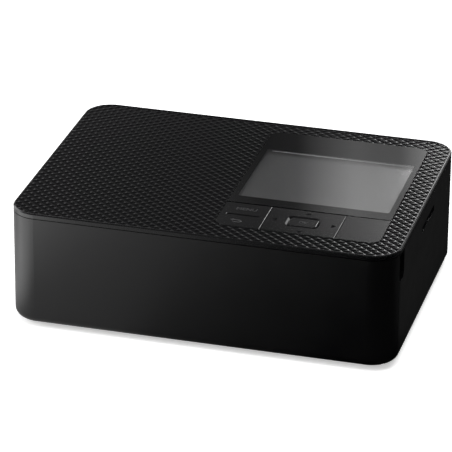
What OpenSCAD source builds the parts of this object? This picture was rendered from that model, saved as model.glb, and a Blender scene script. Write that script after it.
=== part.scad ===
// Compact dye-sublimation photo printer for postcard-size paper.
// Row frame: origin at the middle of the footprint on the table, +Z up,
// the paper port faces -Y, the card slot faces +X, the ink bay faces -X.

/* [Case] */
// Overall width of the printer
body_w = 182.2; // [181:0.2:200]
// Overall depth of the printer
body_d = 133; // [132.4:0.2:150]
// Overall height, feet included
body_h = 57.6; // [57.2:0.1:66]
// Radius of the upright corners
corner_r = 13; // [12:0.5:15]
// Radius rolled along the bottom edge, which is also the front cover's swing
edge_r = 4; // [3.8:0.1:4.4]
// Height of the rubber feet below the case
foot_h = 1.6; // [1.2:0.1:3]
// Radius of a rubber foot
foot_r = 5; // [3:0.5:7]
// Thickness of the moulded case walls
wall = 2; // [1.8:0.1:2.2]
// Thickness of the bottom case
floor_t = 2; // [1.6:0.1:2.4]
// Open line between neighbouring mouldings
seam = 0.35; // [0.25:0.05:0.5]

/* [Top cover] */
// Height of the rim that shows below the textured top
rim_h = 2.3; // [2:0.1:2.6]
// Small chamfer along the rim's top edge
rim_chamfer = 0.5; // [0.2:0.1:0.8]
// Depth of the stiffening ribs under the top cover
rib_h = 1.6; // [0.8:0.1:2]
// Depth of the sunk field that holds the lid's moulded pattern
field_h = 0.35; // [0.2:0.05:0.4]
// Width of the plain land between the rim's chamfer and the sunk field
field_land = 0.4; // [0.3:0.1:1]

/* [Control panel] */
// Width of the smooth control panel
panel_w = 77; // [76:0.5:79]
// Length of the control panel, front to back
panel_d = 108.4; // [107:0.2:110]
// Radius of the panel's corners
panel_r = 5.5; // [4:0.5:7]
// Distance from the printer's right side to the panel
panel_right = 11.1; // [10.5:0.1:12]
// Distance from the printer's front to the panel
panel_front = 13.8; // [13:0.1:14.6]
// Depth of the row of keys
key_row_d = 25; // [22:0.5:26]
// Width of the menu and back key
menu_key_w = 21.7; // [18:0.1:24]
// Width of the four-way navigation plate
nav_w = 34.8; // [32:0.1:38]
// Clear gap round each key
key_gap = 0.25; // [0.2:0.05:0.4]
// Thickness of the key caps
key_t = 2.2; // [1.8:0.1:2.4]
// Travel of the pressed keys
key_travel = 0.5; // [0.3:0.1:0.6]
// Length and width of the centre button
ok_size = [13, 8.4];
// Width of the bevel round the centre button
ok_bevel = 1.1; // [0.6:0.1:1.4]

/* [Display] */
// Clear width of the display window
window_w = 71.4; // [70:0.1:73]
// Clear depth of the display window
window_d = 55; // [52:0.2:56]
// Distance from the panel's rear edge to the clear window
window_rear = 19.8; // [19:0.1:22]
// Thickness of the window plate
window_t = 1.5; // [1.2:0.1:1.6]
// Thickness of the display module
lcd_t = 3; // [2.4:0.1:3.2]
// Gap between the window plate and the display module
lcd_gap = 1.5; // [0.9:0.1:1.6]

/* [Front cover] */
// How far the front cover wraps round each side
cover_return = 10; // [9:0.5:11]
// Radius of the front cover's steel hinge pins
cover_pin_r = 1; // [0.8:0.1:1.1]
// Width of the finger notch beside the cover
notch_w = 7.5; // [6:0.5:9]
// Height of the finger notch
notch_h = 13.5; // [10:0.5:16]
// Depth of the finger notch into the side
notch_deep = 6; // [5:0.5:7]

/* [Ports] */
// Width of the paper cassette port
port_w = 110; // [108:0.5:112]
// Height of the paper cassette port
port_h = 22.5; // [20:0.5:24]
// Length of the memory card slot
slot_w = 26; // [25:0.5:28]
// Height of the memory card slot
slot_h = 3; // [2.6:0.1:3.2]
// Middle of the memory card slot, from the printer's middle
slot_y = 3; // [-4:0.5:8]
// Radius of the power inlet's mouth
jack_r = 2.9; // [2.7:0.1:3.2]

/* [Ink bay] */
// Radius of the ribbon tubes that the bay takes
tube_r = 9; // [8.5:0.1:9.2]
// Front to back distance between the two ribbon tubes
tube_pitch = 42; // [41.6:0.1:43]
// Thickness of the ink door
door_t = 2; // [1.6:0.1:2.2]
// Radius of the ink door's steel hinge pins
door_pin_r = 0.9; // [0.7:0.1:1]

/* [Print engine] */
// Width of the paper
paper_w = 100; // [100:0.5:102]
// Height of the paper path above the floor of the case
path_h = 15.4; // [15.2:0.1:16]
// Radius of the rubber platen
platen_r = 7; // [6.5:0.1:7.2]
// Radius of the steel grip roller
grip_r = 4.5; // [4.2:0.1:4.7]
// Radius of the pinch roller
pinch_r = 4; // [3.6:0.1:4.2]
// Radius of the half-moon pick-up rollers
pickup_r = 10; // [9.5:0.1:10.2]
// Thickness of the steel side frames
frame_t = 1.5; // [1.2:0.1:1.8]
// Angle by which the print head swings from raised to printing
head_swing = 13; // [12:0.5:14]
// Number of fins on the head's heat sink
fins = 5; // [3:1:5]

/* [Gears] */
// Module of all the gears
gear_m = 0.6; // [0.58:0.01:0.61]
// Face width of the gears
gear_w = 3.5; // [3:0.1:3.8]
// Teeth of the grip roller's gear
grip_teeth = 28; // [26:1:29]
// Teeth of the large half of the reduction gear
large_teeth = 44; // [40:1:46]
// Teeth of the small half of the reduction gear
small_teeth = 14; // [13:1:15]
// Teeth of the pick-up gear
pickup_teeth = 32; // [30:1:33]
// Teeth of each motor pinion
pinion_teeth = 12; // [11:1:13]
// Teeth of the take-up gear
takeup_teeth = 30; // [28:1:31]
// Teeth of the full circle of which the lift sector is a slice
sector_teeth = 60; // [58:1:61]

/* [Clearances] */
// Radial running clearance of a shaft in its bearing
run = 0.05; // [0.03:0.01:0.08]
// Extra centre distance of meshing gears
mesh_gap = 0.06; // [0.05:0.01:0.1]
// Gap between a moving piece and the moulding beside it
fit = 0.3; // [0.2:0.05:0.4]

/* [Hidden] */
$fn = 64;

// Case levels and outline
hw = body_w / 2;
hd = body_d / 2;
inner_x = hw - wall;
rim_z = body_h - rim_h;
case_top = rim_z - seam;
floor_top = foot_h + floor_t;
lip_t = 1.2;
flange = edge_r + 1;

// Front cover: its hinge lies on the centre of the rolled bottom edge
cov_y = -hd + edge_r;
cov_z = foot_h + edge_r;
cov_rear = -hd + cover_return;
case_front = cov_rear + seam;
knuckle_r = cover_pin_r + 1.4;
cov_knuckle = [60, 70];
base_knuckle = [70.3, 76];

// Control panel
panel_x1 = hw - panel_right;
panel_x0 = panel_x1 - panel_w;
panel_y0 = -hd + panel_front;
panel_y1 = panel_y0 + panel_d;
panel_cx = (panel_x0 + panel_x1) / 2;
panel_cy = (panel_y0 + panel_y1) / 2;
row_y1 = panel_y0 + key_row_d;
row_cy = (panel_y0 + row_y1) / 2;
panel_gap = 0.2;
ledge_w = 1.5;
mask_t = 0.15;
ledge_z = body_h - window_t - mask_t;
window_cx = panel_cx;
window_cy = panel_y1 - window_rear - window_d / 2;

// Keys, from the panel down to their board
key_top = body_h - 0.1;
key_z = key_top - key_t;
key_pivot_z = key_z + key_t / 2;
menu_x1 = panel_x0 + menu_key_w;
nav_x1 = menu_x1 + nav_w;
nav_cx = (menu_x1 + nav_x1) / 2;
switch_h = 1;
board_t = 1.6;
stem_gap = key_travel + 0.2;
key_board_top = rim_z - 1.4 - stem_gap - switch_h;
stem_z = key_board_top + switch_h + stem_gap;
post_r = [4.6, 6.2];
boss_r = 2.4;
key_boss_r = 1.8;
key_boss_x = [panel_x0 - key_boss_r - 0.8, panel_x1 + key_boss_r + 0.8];
key_boss_y = [row_cy - 4, row_cy + 8.6];
key_board_x = [panel_x0 - 5, panel_x1 + 2];
key_board_y = [panel_y0 + 0.7, row_y1 - 1.3];

// Display module and its tray
lcd_w = window_w + 3.3;
lcd_d = window_d + 5.2;
lcd_z = body_h - window_t - lcd_gap - lcd_t;
tray_t = 0.6;
tray_ear_x = [panel_x0 - 3.5, panel_x1 + 3.5];
tray_ear_y = [window_cy - 20, window_cy + 22];

// Paper path and chassis, from the floor up
base_t = 1.2;
base_top = floor_top + base_t;
path_z = floor_top + path_h;
frame_gap = max(port_w + 5, paper_w + 15);
frame_in = frame_gap / 2;
frame_out = frame_in + frame_t;
frame_y = [cov_y + edge_r + 3.5, hd - wall - 7.5];
frame_slope = 14;
frame_top = lcd_z - tray_t - 3;
board_z = frame_top;
board_y = [frame_y[0] + 9, frame_y[1] - 13];
slot_z = board_z - 1.7;
roller_half = paper_w / 2 + 2;
guide_x = port_w / 2 + 0.5;
guide_ribs = [for (i = [0:3]) 5.5 - guide_x + i * (2 * guide_x - 12) / 3];
shaft_r = 2.5;
bush_t = 1.3;
head_shaft_r = 2.8;
nose_r = 5;

// Gear layers outside the right frame
layer_a = frame_out + 1;
layer_b = layer_a + gear_w + 1;
plate_x = layer_b + gear_w + 1.5;
plate_t = 1.5;
motor_x = plate_x + plate_t;
motor_room = inner_x - motor_x - 2.5;
feed_motor_r = 12.5;
feed_motor_l = min(9.5, motor_room);
ribbon_motor_r = 10;
lift_motor_r = 7.5;
small_motor_l = min(13, motor_room);

function pitch_r(teeth) = gear_m * teeth / 2;
function centres(a, b) = pitch_r(a) + pitch_r(b) + mesh_gap;
function polar(c, r, a) = [c[0] + r * cos(a), c[1] + r * sin(a)];
// Turn of a gear of nb teeth that meshes with one of na teeth turned by a0,
// where dir is the direction from the first gear's centre to the second's
function meshed(a0, na, nb, dir) = dir + 180 - (0.5 - (dir - a0) * na / 360) * 360 / nb;

// Directions from one gear centre to the next
red_dir = 131;
pick_dir = 156;
feed_dir = 202;
ribbon_dir = 262;

// Centres in the (y, z) plane
grip_c = [-hd + 49.5, path_z - grip_r - 0.05];
platen_c = [max(hd - 41.5, grip_c[0] + 31), path_z - platen_r - 0.1];
pinch_c = [grip_c[0], path_z + pinch_r + 0.1];
takeup_c = [platen_c[0] + 18, path_z + 2 + tube_r];
supply_c = [takeup_c[0] - tube_pitch, takeup_c[1]];
head_c = [platen_c[0] + 26, min(path_z + 26, frame_top - 3)];
lift_dir = 180 + asin((head_c[1] - takeup_c[1] - 4.17) / centres(sector_teeth, pinion_teeth));
red_c = polar(grip_c, centres(grip_teeth, small_teeth), red_dir);
pickup_c = polar(red_c, centres(small_teeth, pickup_teeth), pick_dir);
feed_c = polar(red_c, centres(large_teeth, pinion_teeth), feed_dir);
lift_c = polar(head_c, centres(sector_teeth, pinion_teeth), lift_dir);
ribbon_c = polar(takeup_c, centres(takeup_teeth, pinion_teeth), ribbon_dir);

small_turn = meshed(0, grip_teeth, small_teeth, red_dir);
pickup_turn = meshed(small_turn, small_teeth, pickup_teeth, pick_dir);
feed_turn = meshed(0, large_teeth, pinion_teeth, feed_dir);
ribbon_turn = meshed(0, takeup_teeth, pinion_teeth, ribbon_dir);
lift_turn = meshed(-head_swing, sector_teeth, pinion_teeth, lift_dir);
head_d = 16;
head_y = [platen_c[0] - head_d / 2, platen_c[0] + head_d / 2];
sink_z = path_z + 3.2;
sink_base = 3;
fin_h = 8;
fin_t = 1.4;
sink_top = sink_z + sink_base + fin_h;
stay_z = frame_top - 4;

// Ink door: hinge barrel along its lower edge
barrel_r = 1.7;
door_x = -hw + barrel_r;
door_z = path_z - 3.4;
door_y = [supply_c[0] - tube_r - 7, takeup_c[0] + tube_r + 1];
door_top = path_z + 2 * tube_r + 6;
bay_y = [door_y[0] + 1.2, door_y[1] - 0.8];
bay_top = door_top - 2;
lever_c = [supply_c[0] - tube_r - 9, path_z + 14];
lever_x = [-hw + 5, -hw + 15];

// Screws that hold the two halves of the case together, clear of the motors
screw_r = 1.25;
boss_r1 = 3.4;
boss_r2 = 3.8;
screw_x = max(inner_x - 9.5, motor_x + boss_r2 + fit);
screw_left = [door_y[0] - 7, hd - 11.5];
screw_right = [grip_c[0] - 5, max(hd - 11.5, ribbon_c[0] + ribbon_motor_r + boss_r1 + fit)];
boss_z = floor_top + 6.3;
boss_h = 18;

// Sockets at the back
io_x = [frame_out - 1, min(frame_out + 14, screw_x - boss_r2 - fit)];
io_y = frame_y[1];
power_x = [boss_r2 + 0.8 - screw_x, -frame_out - 2];
power_y = [frame_y[0] + 3, frame_y[0] + 28];
power_z = floor_top + 4.5;
jack_x = frame_out + 6;
jack_z = floor_top + 10.4;
usb_z = floor_top + 26;
usb_size = [12, 10.9];

// Plates, blocks and bars are given by their two corners
module box(x, y, z) {
    translate([x[0], y[0], z[0]]) cube([x[1] - x[0], y[1] - y[0], z[1] - z[0]]);
}

module rrect(w, d, r) {
    square([w - 2 * r, d], center = true);
    square([w, d - 2 * r], center = true);
    for (sx = [-1, 1], sy = [-1, 1]) translate([sx * (w / 2 - r), sy * (d / 2 - r)]) circle(r);
}

module plan(inset) {
    rrect(body_w - 2 * inset, body_d - 2 * inset, corner_r - inset);
}

module slab(z0, z1) {
    translate([0, 0, z0]) linear_extrude(z1 - z0) children();
}

// Extrudes an outline drawn in (y, z) from x0 to x1
module side(x0, x1) {
    translate([x0, 0, 0]) rotate([90, 0, 90]) linear_extrude(x1 - x0) children();
}

module at(c) {
    translate([c[0], c[1]]) children();
}

module rod(x, c, r) {
    translate([x[0], c[0], c[1]]) rotate([0, 90, 0]) cylinder(r = r, h = x[1] - x[0]);
}

module post(x, y, z, r) {
    translate([x, y, z[0]]) cylinder(r = r, h = z[1] - z[0]);
}

module both_sides() {
    children();
    mirror([1, 0, 0]) children();
}

module at_screws() {
    for (y = screw_right) translate([screw_x, y, 0]) children();
    mirror([1, 0, 0]) for (y = screw_left) translate([screw_x, y, 0]) children();
}

// Sweeps a profile round the body's outline; its x is minus the inset, its y is z
module ring_sweep() {
    for (i = [0:3]) rotate(90 * i) {
        run_l = (i % 2 == 0) ? body_d - 2 * corner_r : body_w - 2 * corner_r;
        out = (i % 2 == 0) ? hw : hd;
        translate([out, -run_l / 2, 0]) rotate([90, 0, 180]) mirror([1, 0, 0])
            linear_extrude(run_l) children();
        translate([out - corner_r, run_l / 2, 0]) rotate_extrude(angle = 90)
            translate([corner_r, 0]) children();
    }
}

// Wall with a rolled bottom edge and a short flange below
module wall_profile(top) {
    difference() {
        translate([-flange, foot_h]) square([flange, top - foot_h]);
        translate([-flange - 1, foot_h + wall]) square([flange + 1 - edge_r, top]);
        translate([-edge_r, foot_h + edge_r]) square([edge_r - wall, top]);
        translate([-edge_r - 0.01, foot_h + wall]) square([0.02, top]);
        difference() {
            translate([-edge_r, foot_h - 1]) square([edge_r + 1, edge_r + 1]);
            translate([-edge_r, foot_h + edge_r]) circle(edge_r);
        }
        translate([-edge_r, foot_h + edge_r]) circle(edge_r - wall);
    }
}

// Spur gear outline with straight flanks at twenty degrees
module gear_outline(teeth, turn = 0) {
    r = pitch_r(teeth);
    top = 0.88 * gear_m;
    root = 1.15 * gear_m;
    half = 0.64 * gear_m;
    tan_f = tan(20);
    points = [for (i = [0:teeth - 1]) let (a = turn + 360 * i / teeth)
        each [
            for (p = [[r - root, half + root * tan_f], [r + top, half - top * tan_f],
                      [r + top, top * tan_f - half], [r - root, -half - root * tan_f]])
                [p[0] * cos(a) + p[1] * sin(a), p[0] * sin(a) - p[1] * cos(a)]
        ]
    ];
    polygon(points);
}

module gear(x0, c, teeth, turn = 0, bore = 0) {
    side(x0, x0 + gear_w) at(c) difference() {
        gear_outline(teeth, turn);
        if (bore > 0) circle(bore);
    }
}

// Turns a piece drawn in its printing place up to the place where it waits
module raised() {
    translate([0, head_c[0], head_c[1]]) rotate([-head_swing, 0, 0])
        translate([0, -head_c[0], -head_c[1]]) children();
}

module panel_outline(grow = 0) {
    translate([panel_cx, panel_cy]) rrect(panel_w + 2 * grow, panel_d + 2 * grow, panel_r + grow);
}

module key_outline(x0, x1) {
    intersection() {
        panel_outline();
        translate([x0, panel_y0]) square([x1 - x0, key_row_d - key_gap]);
    }
}

module window_outline() {
    intersection() {
        panel_outline();
        translate([panel_x0, row_y1 + key_gap]) square([panel_w, panel_d]);
    }
}

module clear_window() {
    translate([window_cx, window_cy]) rrect(window_w, window_d, 1);
}

// ---------------------------------------------------------------- case

module top_cover() {
    color([0.16, 0.16, 0.17]) {
        difference() {
            slab(rim_z, body_h) plan(0);
            slab(body_h - field_h, body_h + 1) plan(rim_chamfer + field_land);
            slab(ledge_z, body_h + 1) panel_outline(panel_gap);
            slab(rim_z - 1, body_h + 1) intersection() {
                panel_outline(panel_gap);
                translate([panel_x0 - 1, panel_y0 - 1]) square([panel_w + 2, key_row_d + 1]);
            }
            slab(rim_z - 1, body_h + 1) intersection() {
                panel_outline(-ledge_w);
                translate([panel_x0, row_y1 + 2]) square([panel_w, panel_d]);
            }
            ring_sweep() polygon([
                [1, body_h - rim_chamfer - 1],
                [1, body_h + 1],
                [-rim_chamfer - 1, body_h + 1]
            ]);
        }
        for (x = [0.15, 0.45, 0.75])
            box([-x * hw, 1.2 - x * hw], [16.5 - hd, hd - 16.5], [rim_z - rib_h, rim_z]);
        for (y = [-35, 0, 35]) box([-hw + 8, panel_x0 - 2], [y, y + 1.2], [rim_z - rib_h, rim_z]);
        for (x = key_boss_x, y = key_boss_y) post(x, y, [key_board_top, rim_z], key_boss_r);
        for (x = tray_ear_x, y = tray_ear_y) post(x, y, [lcd_z, rim_z], boss_r);
    }
}

module finger_pocket() {
    x = hw - notch_deep;
    difference() {
        box([x - 1.2, inner_x + 0.5], [case_front, case_front + notch_w + 1.2],
            [case_top - notch_h - 1.2, case_top]);
        box([x, hw], [case_front - 1, case_front + notch_w], [case_top - notch_h, case_top + 1]);
    }
}

module main_case() {
    color([0.13, 0.13, 0.14]) difference() {
        union() {
            ring_sweep() wall_profile(case_top);
            ring_sweep() translate([-wall - 1.6, rim_z - 2]) square([1.7, 2]);
            both_sides() finger_pocket();
            // Stop frame behind the ink door
            box([-inner_x - 0.1, -inner_x + 1.6], [door_y[0] - 4, door_y[1] + 4],
                [door_z - barrel_r - 3, door_top + 4]);
            // Shelf for the main board
            for (y = [[board_y[0] + 2, slot_y - slot_w / 2 - 4], [slot_y + slot_w / 2 + 4, board_y[1]]])
                box([inner_x - 2.5, inner_x + 0.1], y, [board_z - 2, board_z]);
            // Screw bosses
            at_screws() {
                post(0, 0, [boss_z, boss_z + boss_h], boss_r1);
                box([0, inner_x - screw_x + 0.1], [-0.7, 0.7], [boss_z, boss_z + boss_h]);
            }
        }
        // Mouth that the front cover closes
        box([-hw - 1, hw + 1], [-hd - 1, case_front], [0, body_h]);
        // Finger notches, with a rounded lower corner
        both_sides() side(hw - wall - 1, hw + 1) {
            translate([case_front - 1, case_top - notch_h + 3]) square([notch_w + 1, notch_h]);
            translate([case_front - 1, case_top - notch_h]) square([notch_w - 2, notch_h]);
            at([case_front + notch_w - 3, case_top - notch_h + 3]) circle(3);
        }
        // Ink door, with the bay's mouth behind it
        box([-hw - 1, -inner_x + 0.1], [door_y[0] - fit, door_y[1] + fit], [door_z, door_top + fit]);
        box([-hw - 1, door_x + barrel_r + fit], [door_y[0] - fit, door_y[1] + fit],
            [door_z - barrel_r - fit, door_z + barrel_r + fit]);
        box([-hw - 1, -inner_x + 3], bay_y, [door_z, bay_top]);
        door_pins();
        // Card slot
        box([inner_x - 1, hw + 1], [slot_y - slot_w / 2, slot_y + slot_w / 2],
            [slot_z - slot_h / 2, slot_z + slot_h / 2]);
        // Paper slot and air vents at the back
        box([-paper_w / 2 - 3, paper_w / 2 + 3], [hd - wall - 5, hd + 1], [path_z - 2.5, path_z + 2.5]);
        for (i = [0:11]) box([-52 + 6 * i, -49.6 + 6 * i], [hd - wall - 1, hd + 1],
            [path_z + 12, min(path_z + 30, case_top - 4)]);
        // Power inlet and service socket
        translate([jack_x, hd + 1, jack_z]) rotate([90, 0, 0]) cylinder(r = jack_r + 1.6, h = 4);
        box([jack_x - usb_size[0] / 2 - fit, jack_x + usb_size[0] / 2 + fit], [hd - wall - 1, hd + 1],
            [usb_z - usb_size[1] / 2 - fit, usb_z + usb_size[1] / 2 + fit]);
        // Screw holes
        at_screws() post(0, 0, [floor_top, boss_z + boss_h / 2], screw_r);
    }
}

module bottom_case() {
    edge = flange + seam / 2;
    front = cov_y + edge_r + fit;
    color([0.12, 0.12, 0.13]) difference() {
        union() {
            intersection() {
                slab(foot_h, floor_top) plan(edge);
                box([-hw, hw], [front, hd], [0, body_h]);
            }
            intersection() {
                slab(floor_top, floor_top + lip_t) difference() {
                    plan(edge_r + fit);
                    plan(edge_r + 4);
                }
                box([-hw, hw], [case_front + fit, hd], [0, body_h]);
            }
            // Hinge knuckles of the front cover
            both_sides() {
                rod(base_knuckle, [cov_y, cov_z], knuckle_r);
                box(base_knuckle, [cov_y, cov_y + 7.5], [cov_z + 0.6, cov_z + knuckle_r]);
                box(base_knuckle, [cov_y + edge_r + 1, cov_y + 7.5], [foot_h, cov_z + knuckle_r]);
            }
            // Screw bosses
            at_screws() post(0, 0, [foot_h, boss_z], boss_r2);
            // Stiffening ribs
            for (y = [-12, 12, 36]) box([-inner_x + 8, -frame_out - 1.5], [y, y + 1.2],
                [floor_top, floor_top + 3]);
        }
        both_sides() rod([base_knuckle[0] - 1, base_knuckle[1] + 1], [cov_y, cov_z], cover_pin_r);
        at_screws() {
            post(0, 0, [0, floor_top + 3], 3);
            post(0, 0, [0, boss_z + 1], screw_r + 0.3);
        }
    }
}

module rubber_feet() {
    color([0.05, 0.05, 0.05])
        for (x = [-1, 1], y = [-1, 1])
            translate([x * (hw - 22), y * (hd - 17), 0]) cylinder(r1 = foot_r - 0.4, r2 = foot_r, h = foot_h);
}

module case_screws() {
    color("silver") at_screws() {
        post(0, 0, [floor_top + 1, floor_top + 3], 2.7);
        post(0, 0, [floor_top + 3, boss_z + 8], screw_r);
    }
}

module port_frame() {
    y = [cov_y + edge_r + 0.9, cov_y + edge_r + 3.5];
    pocket_x = hw - notch_deep - 1.2 - fit;
    color([0.1, 0.1, 0.11]) {
        difference() {
            intersection() {
                box([-hw, hw], y, [cov_z + knuckle_r + 0.7, rim_z - fit]);
                slab(0, body_h) plan(wall + 2 * fit);
            }
            box([-port_w / 2, port_w / 2], [y[0] - 1, y[1] + 1], [0, floor_top + port_h + 1.4]);
            both_sides() box([pocket_x, hw], [y[0] - 1, y[1] + 1], [case_top - notch_h - 1.5, body_h]);
            both_sides() box([hw - corner_r, hw], [y[0] - 1, y[1] + 1],
                [0, cov_z + cover_return - edge_r + 0.5]);
        }
        both_sides() {
            box([port_w / 2, port_w / 2 + 9], y, [floor_top, cov_z + knuckle_r + 1]);
            box([port_w / 2, port_w / 2 + 1.2], [y[0], grip_c[0] - grip_r - 4.5],
                [base_top, floor_top + port_h - 1]);
        }
        box([-port_w / 2, port_w / 2], [y[0], y[1] + 3.5],
            [floor_top + port_h + 1.4, floor_top + port_h + 2.8]);
    }
}

// ---------------------------------------------------------------- front cover

module front_cover() {
    swing = cov_rear - cov_y;
    color([0.13, 0.13, 0.14]) difference() {
        union() {
            difference() {
                intersection() {
                    ring_sweep() wall_profile(case_top);
                    union() {
                        box([-hw - 1, hw + 1], [-hd - 1, cov_rear], [cov_z, body_h]);
                        rod([-hw - 1, hw + 1], [cov_y, cov_z], swing);
                    }
                    rod([-hw - 1, hw + 1], [cov_y, cov_z], rim_z - cov_z - 0.15);
                }
                box([-hw + flange, hw - flange], [cov_y, cov_y + swing], [0, cov_z]);
            }
            both_sides() rod(cov_knuckle, [cov_y, cov_z], knuckle_r);
            // Stiffening ribs inside
            for (i = [-3:2:3]) translate([i * (port_w / 2 - 7) / 3, 0, 0])
                box([-0.6, 0.6], [-hd + 1, -hd + wall + 1.6], [cov_z + 6, case_top - 4]);
            box([-76, 76], [-hd + 1, -hd + wall + 1.6], [case_top - 5.2, case_top - 4]);
        }
        both_sides() {
            rod([base_knuckle[0] - 0.3, base_knuckle[1] + 0.3], [cov_y, cov_z], knuckle_r + fit);
            rod([cov_knuckle[0] - 1, cov_knuckle[1] + 1], [cov_y, cov_z], cover_pin_r + run);
        }
    }
}

module door_pins() {
    for (y = [[door_y[0] - 4, door_y[0] + 7], [door_y[1] - 7, door_y[1] + 4]])
        translate([door_x, y[1], door_z]) rotate([90, 0, 0]) cylinder(r = door_pin_r, h = y[1] - y[0]);
}

module hinge_pins() {
    color("silver") {
        both_sides() rod([cov_knuckle[0] + 0.5, base_knuckle[1]], [cov_y, cov_z], cover_pin_r);
        door_pins();
    }
}

// ---------------------------------------------------------------- ink bay

module ink_door() {
    color([0.13, 0.13, 0.14]) difference() {
        union() {
            box([-hw, -hw + door_t], door_y, [door_z, door_top]);
            translate([door_x, door_y[1], door_z]) rotate([90, 0, 0])
                cylinder(r = barrel_r, h = door_y[1] - door_y[0]);
        }
        for (y = [door_y[0] + 7.2, door_y[1] + 1])
            translate([door_x, y, door_z]) rotate([90, 0, 0])
                cylinder(r = door_pin_r + run, h = 8.2);
    }
}

module eject_lever() {
    color([0.75, 0.75, 0.72]) difference() {
        union() {
            rod(lever_x, lever_c, 3);
            box([lever_x[0], lever_x[0] + 2.5], [lever_c[0], lever_c[0] + 9],
                [lever_c[1] - 2, lever_c[1] + 2]);
            box([lever_x[0], lever_x[1]], [lever_c[0] + 6, lever_c[0] + 9], [lever_c[1] - 3, lever_c[1] + 3]);
        }
        rod([lever_x[0] - 1, lever_x[1] + 1], lever_c, 1.5 + run);
    }
}

// ---------------------------------------------------------------- display

module display_window() {
    color([0.3, 0.3, 0.32]) slab(ledge_z + mask_t, body_h) window_outline();
}

module display_mask() {
    color([0.08, 0.08, 0.08]) slab(ledge_z, ledge_z + mask_t) difference() {
        window_outline();
        clear_window();
    }
}

module lcd_module() {
    color([0.35, 0.36, 0.38]) box([window_cx - lcd_w / 2, window_cx + lcd_w / 2],
        [window_cy - lcd_d / 2, window_cy + lcd_d / 2], [lcd_z, lcd_z + lcd_t]);
}

module lcd_frame() {
    gap = 0.15;
    x = [window_cx - lcd_w / 2 - gap, window_cx + lcd_w / 2 + gap];
    y = [window_cy - lcd_d / 2 - gap, window_cy + lcd_d / 2 + gap];
    color("silver") {
        difference() {
            box([x[0] - tray_t, x[1] + tray_t], [y[0] - tray_t, y[1] + tray_t], [lcd_z - tray_t, rim_z]);
            box(x, y, [lcd_z, rim_z + 1]);
            box([x[0] + 12, x[1] - 12], [y[0] + 10, y[1] - 10], [lcd_z - 1, lcd_z + 1]);
        }
        for (ex = tray_ear_x, ey = tray_ear_y) {
            post(ex, ey, [lcd_z - tray_t, lcd_z], boss_r);
            box([min(ex, window_cx + sign(ex - window_cx) * lcd_w / 2),
                 max(ex, window_cx + sign(ex - window_cx) * lcd_w / 2)],
                [ey - boss_r, ey + boss_r], [lcd_z - tray_t, lcd_z]);
        }
    }
}

// ---------------------------------------------------------------- keys

module menu_back_key() {
    cx = (panel_x0 + menu_x1) / 2;
    color([0.28, 0.28, 0.3]) {
        difference() {
            slab(key_z, key_top) key_outline(panel_x0, menu_x1 - key_gap / 2);
            box([cx - 7.7, cx + 7.7], [row_cy - 0.4, row_cy + 0.4], [key_top - 0.5, key_top + 1]);
        }
        for (y = [-6.5, 6.5]) post(cx, row_cy + y, [stem_z, key_z], 1.4);
        box([cx - 7.7, cx + 7.7], [row_cy - 0.5, row_cy + 0.5], [key_board_top + 0.1, key_z]);
    }
}

module navigation_post() {
    color([0.1, 0.1, 0.1]) translate([nav_cx, row_cy, key_board_top + fit]) difference() {
        cylinder(r = post_r[1], h = key_z - key_board_top - 2 * fit);
        translate([0, 0, -1]) cylinder(r = post_r[0], h = 10);
    }
}

module navigation_plate() {
    color([0.28, 0.28, 0.3]) {
        difference() {
            slab(key_z, key_top) key_outline(menu_x1 + key_gap / 2, nav_x1 - key_gap / 2);
            slab(key_z - 1, key_top + 1) translate([nav_cx, row_cy])
                rrect(ok_size[0] + 2 * key_gap, ok_size[1] + 2 * key_gap, 1.7);
            hull() {
                slab(key_top, key_top + 0.5) translate([nav_cx, row_cy])
                    rrect(ok_size[0] + 2 * ok_bevel + 0.4, ok_size[1] + 2 * ok_bevel + 0.4, 2.4, $fn = 32);
                slab(key_top - 0.9, key_top - 0.8) translate([nav_cx, row_cy])
                    rrect(ok_size[0] + 0.6, ok_size[1] + 0.6, 1.8, $fn = 32);
            }
        }
        for (p = [[-13, 0], [13, 0], [0, -9.4], [0, 9.4]])
            post(nav_cx + p[0], row_cy + p[1], [stem_z, key_z], 1.2);
    }
}

module ok_button() {
    color([0.28, 0.28, 0.3]) {
        slab(key_z + 0.6, key_top - 0.2) translate([nav_cx, row_cy]) rrect(ok_size[0], ok_size[1], 1.5);
        post(nav_cx, row_cy, [stem_z, key_z + 0.6], 2.4);
    }
}

module print_key() {
    cx = (nav_x1 + panel_x1) / 2;
    color([0.28, 0.28, 0.3]) {
        slab(key_z, key_top) key_outline(nav_x1 + key_gap / 2, panel_x1);
        post(cx, row_cy, [stem_z, key_z], 1.6);
        for (y = [-8, 8]) post(cx, row_cy + y, [stem_z, key_z], 1);
    }
}

module key_board() {
    z = [key_board_top - board_t, key_board_top];
    color([0.05, 0.3, 0.18]) {
        box(key_board_x, key_board_y, z);
        box([key_board_x[1] - 1, panel_x1 + 5], [key_boss_y[0] - 2.5, key_board_y[1]], z);
    }
}

module key_switches() {
    menu_cx = (panel_x0 + menu_x1) / 2;
    print_cx = (nav_x1 + panel_x1) / 2;
    places = [[menu_cx, -6.5], [menu_cx, 6.5], [nav_cx - 13, 0], [nav_cx + 13, 0], [nav_cx, -9.4],
              [nav_cx, 9.4], [nav_cx, 0], [print_cx, 0]];
    color("silver") for (p = places)
        box([p[0] - 2.2, p[0] + 2.2], [row_cy + p[1] - 2.2, row_cy + p[1] + 2.2],
            [key_board_top, key_board_top + switch_h]);
}

// ---------------------------------------------------------------- boards

module main_board() {
    color([0.05, 0.3, 0.18]) box([frame_out + 1, inner_x - 0.6], board_y, [board_z, board_z + board_t]);
}

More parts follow.
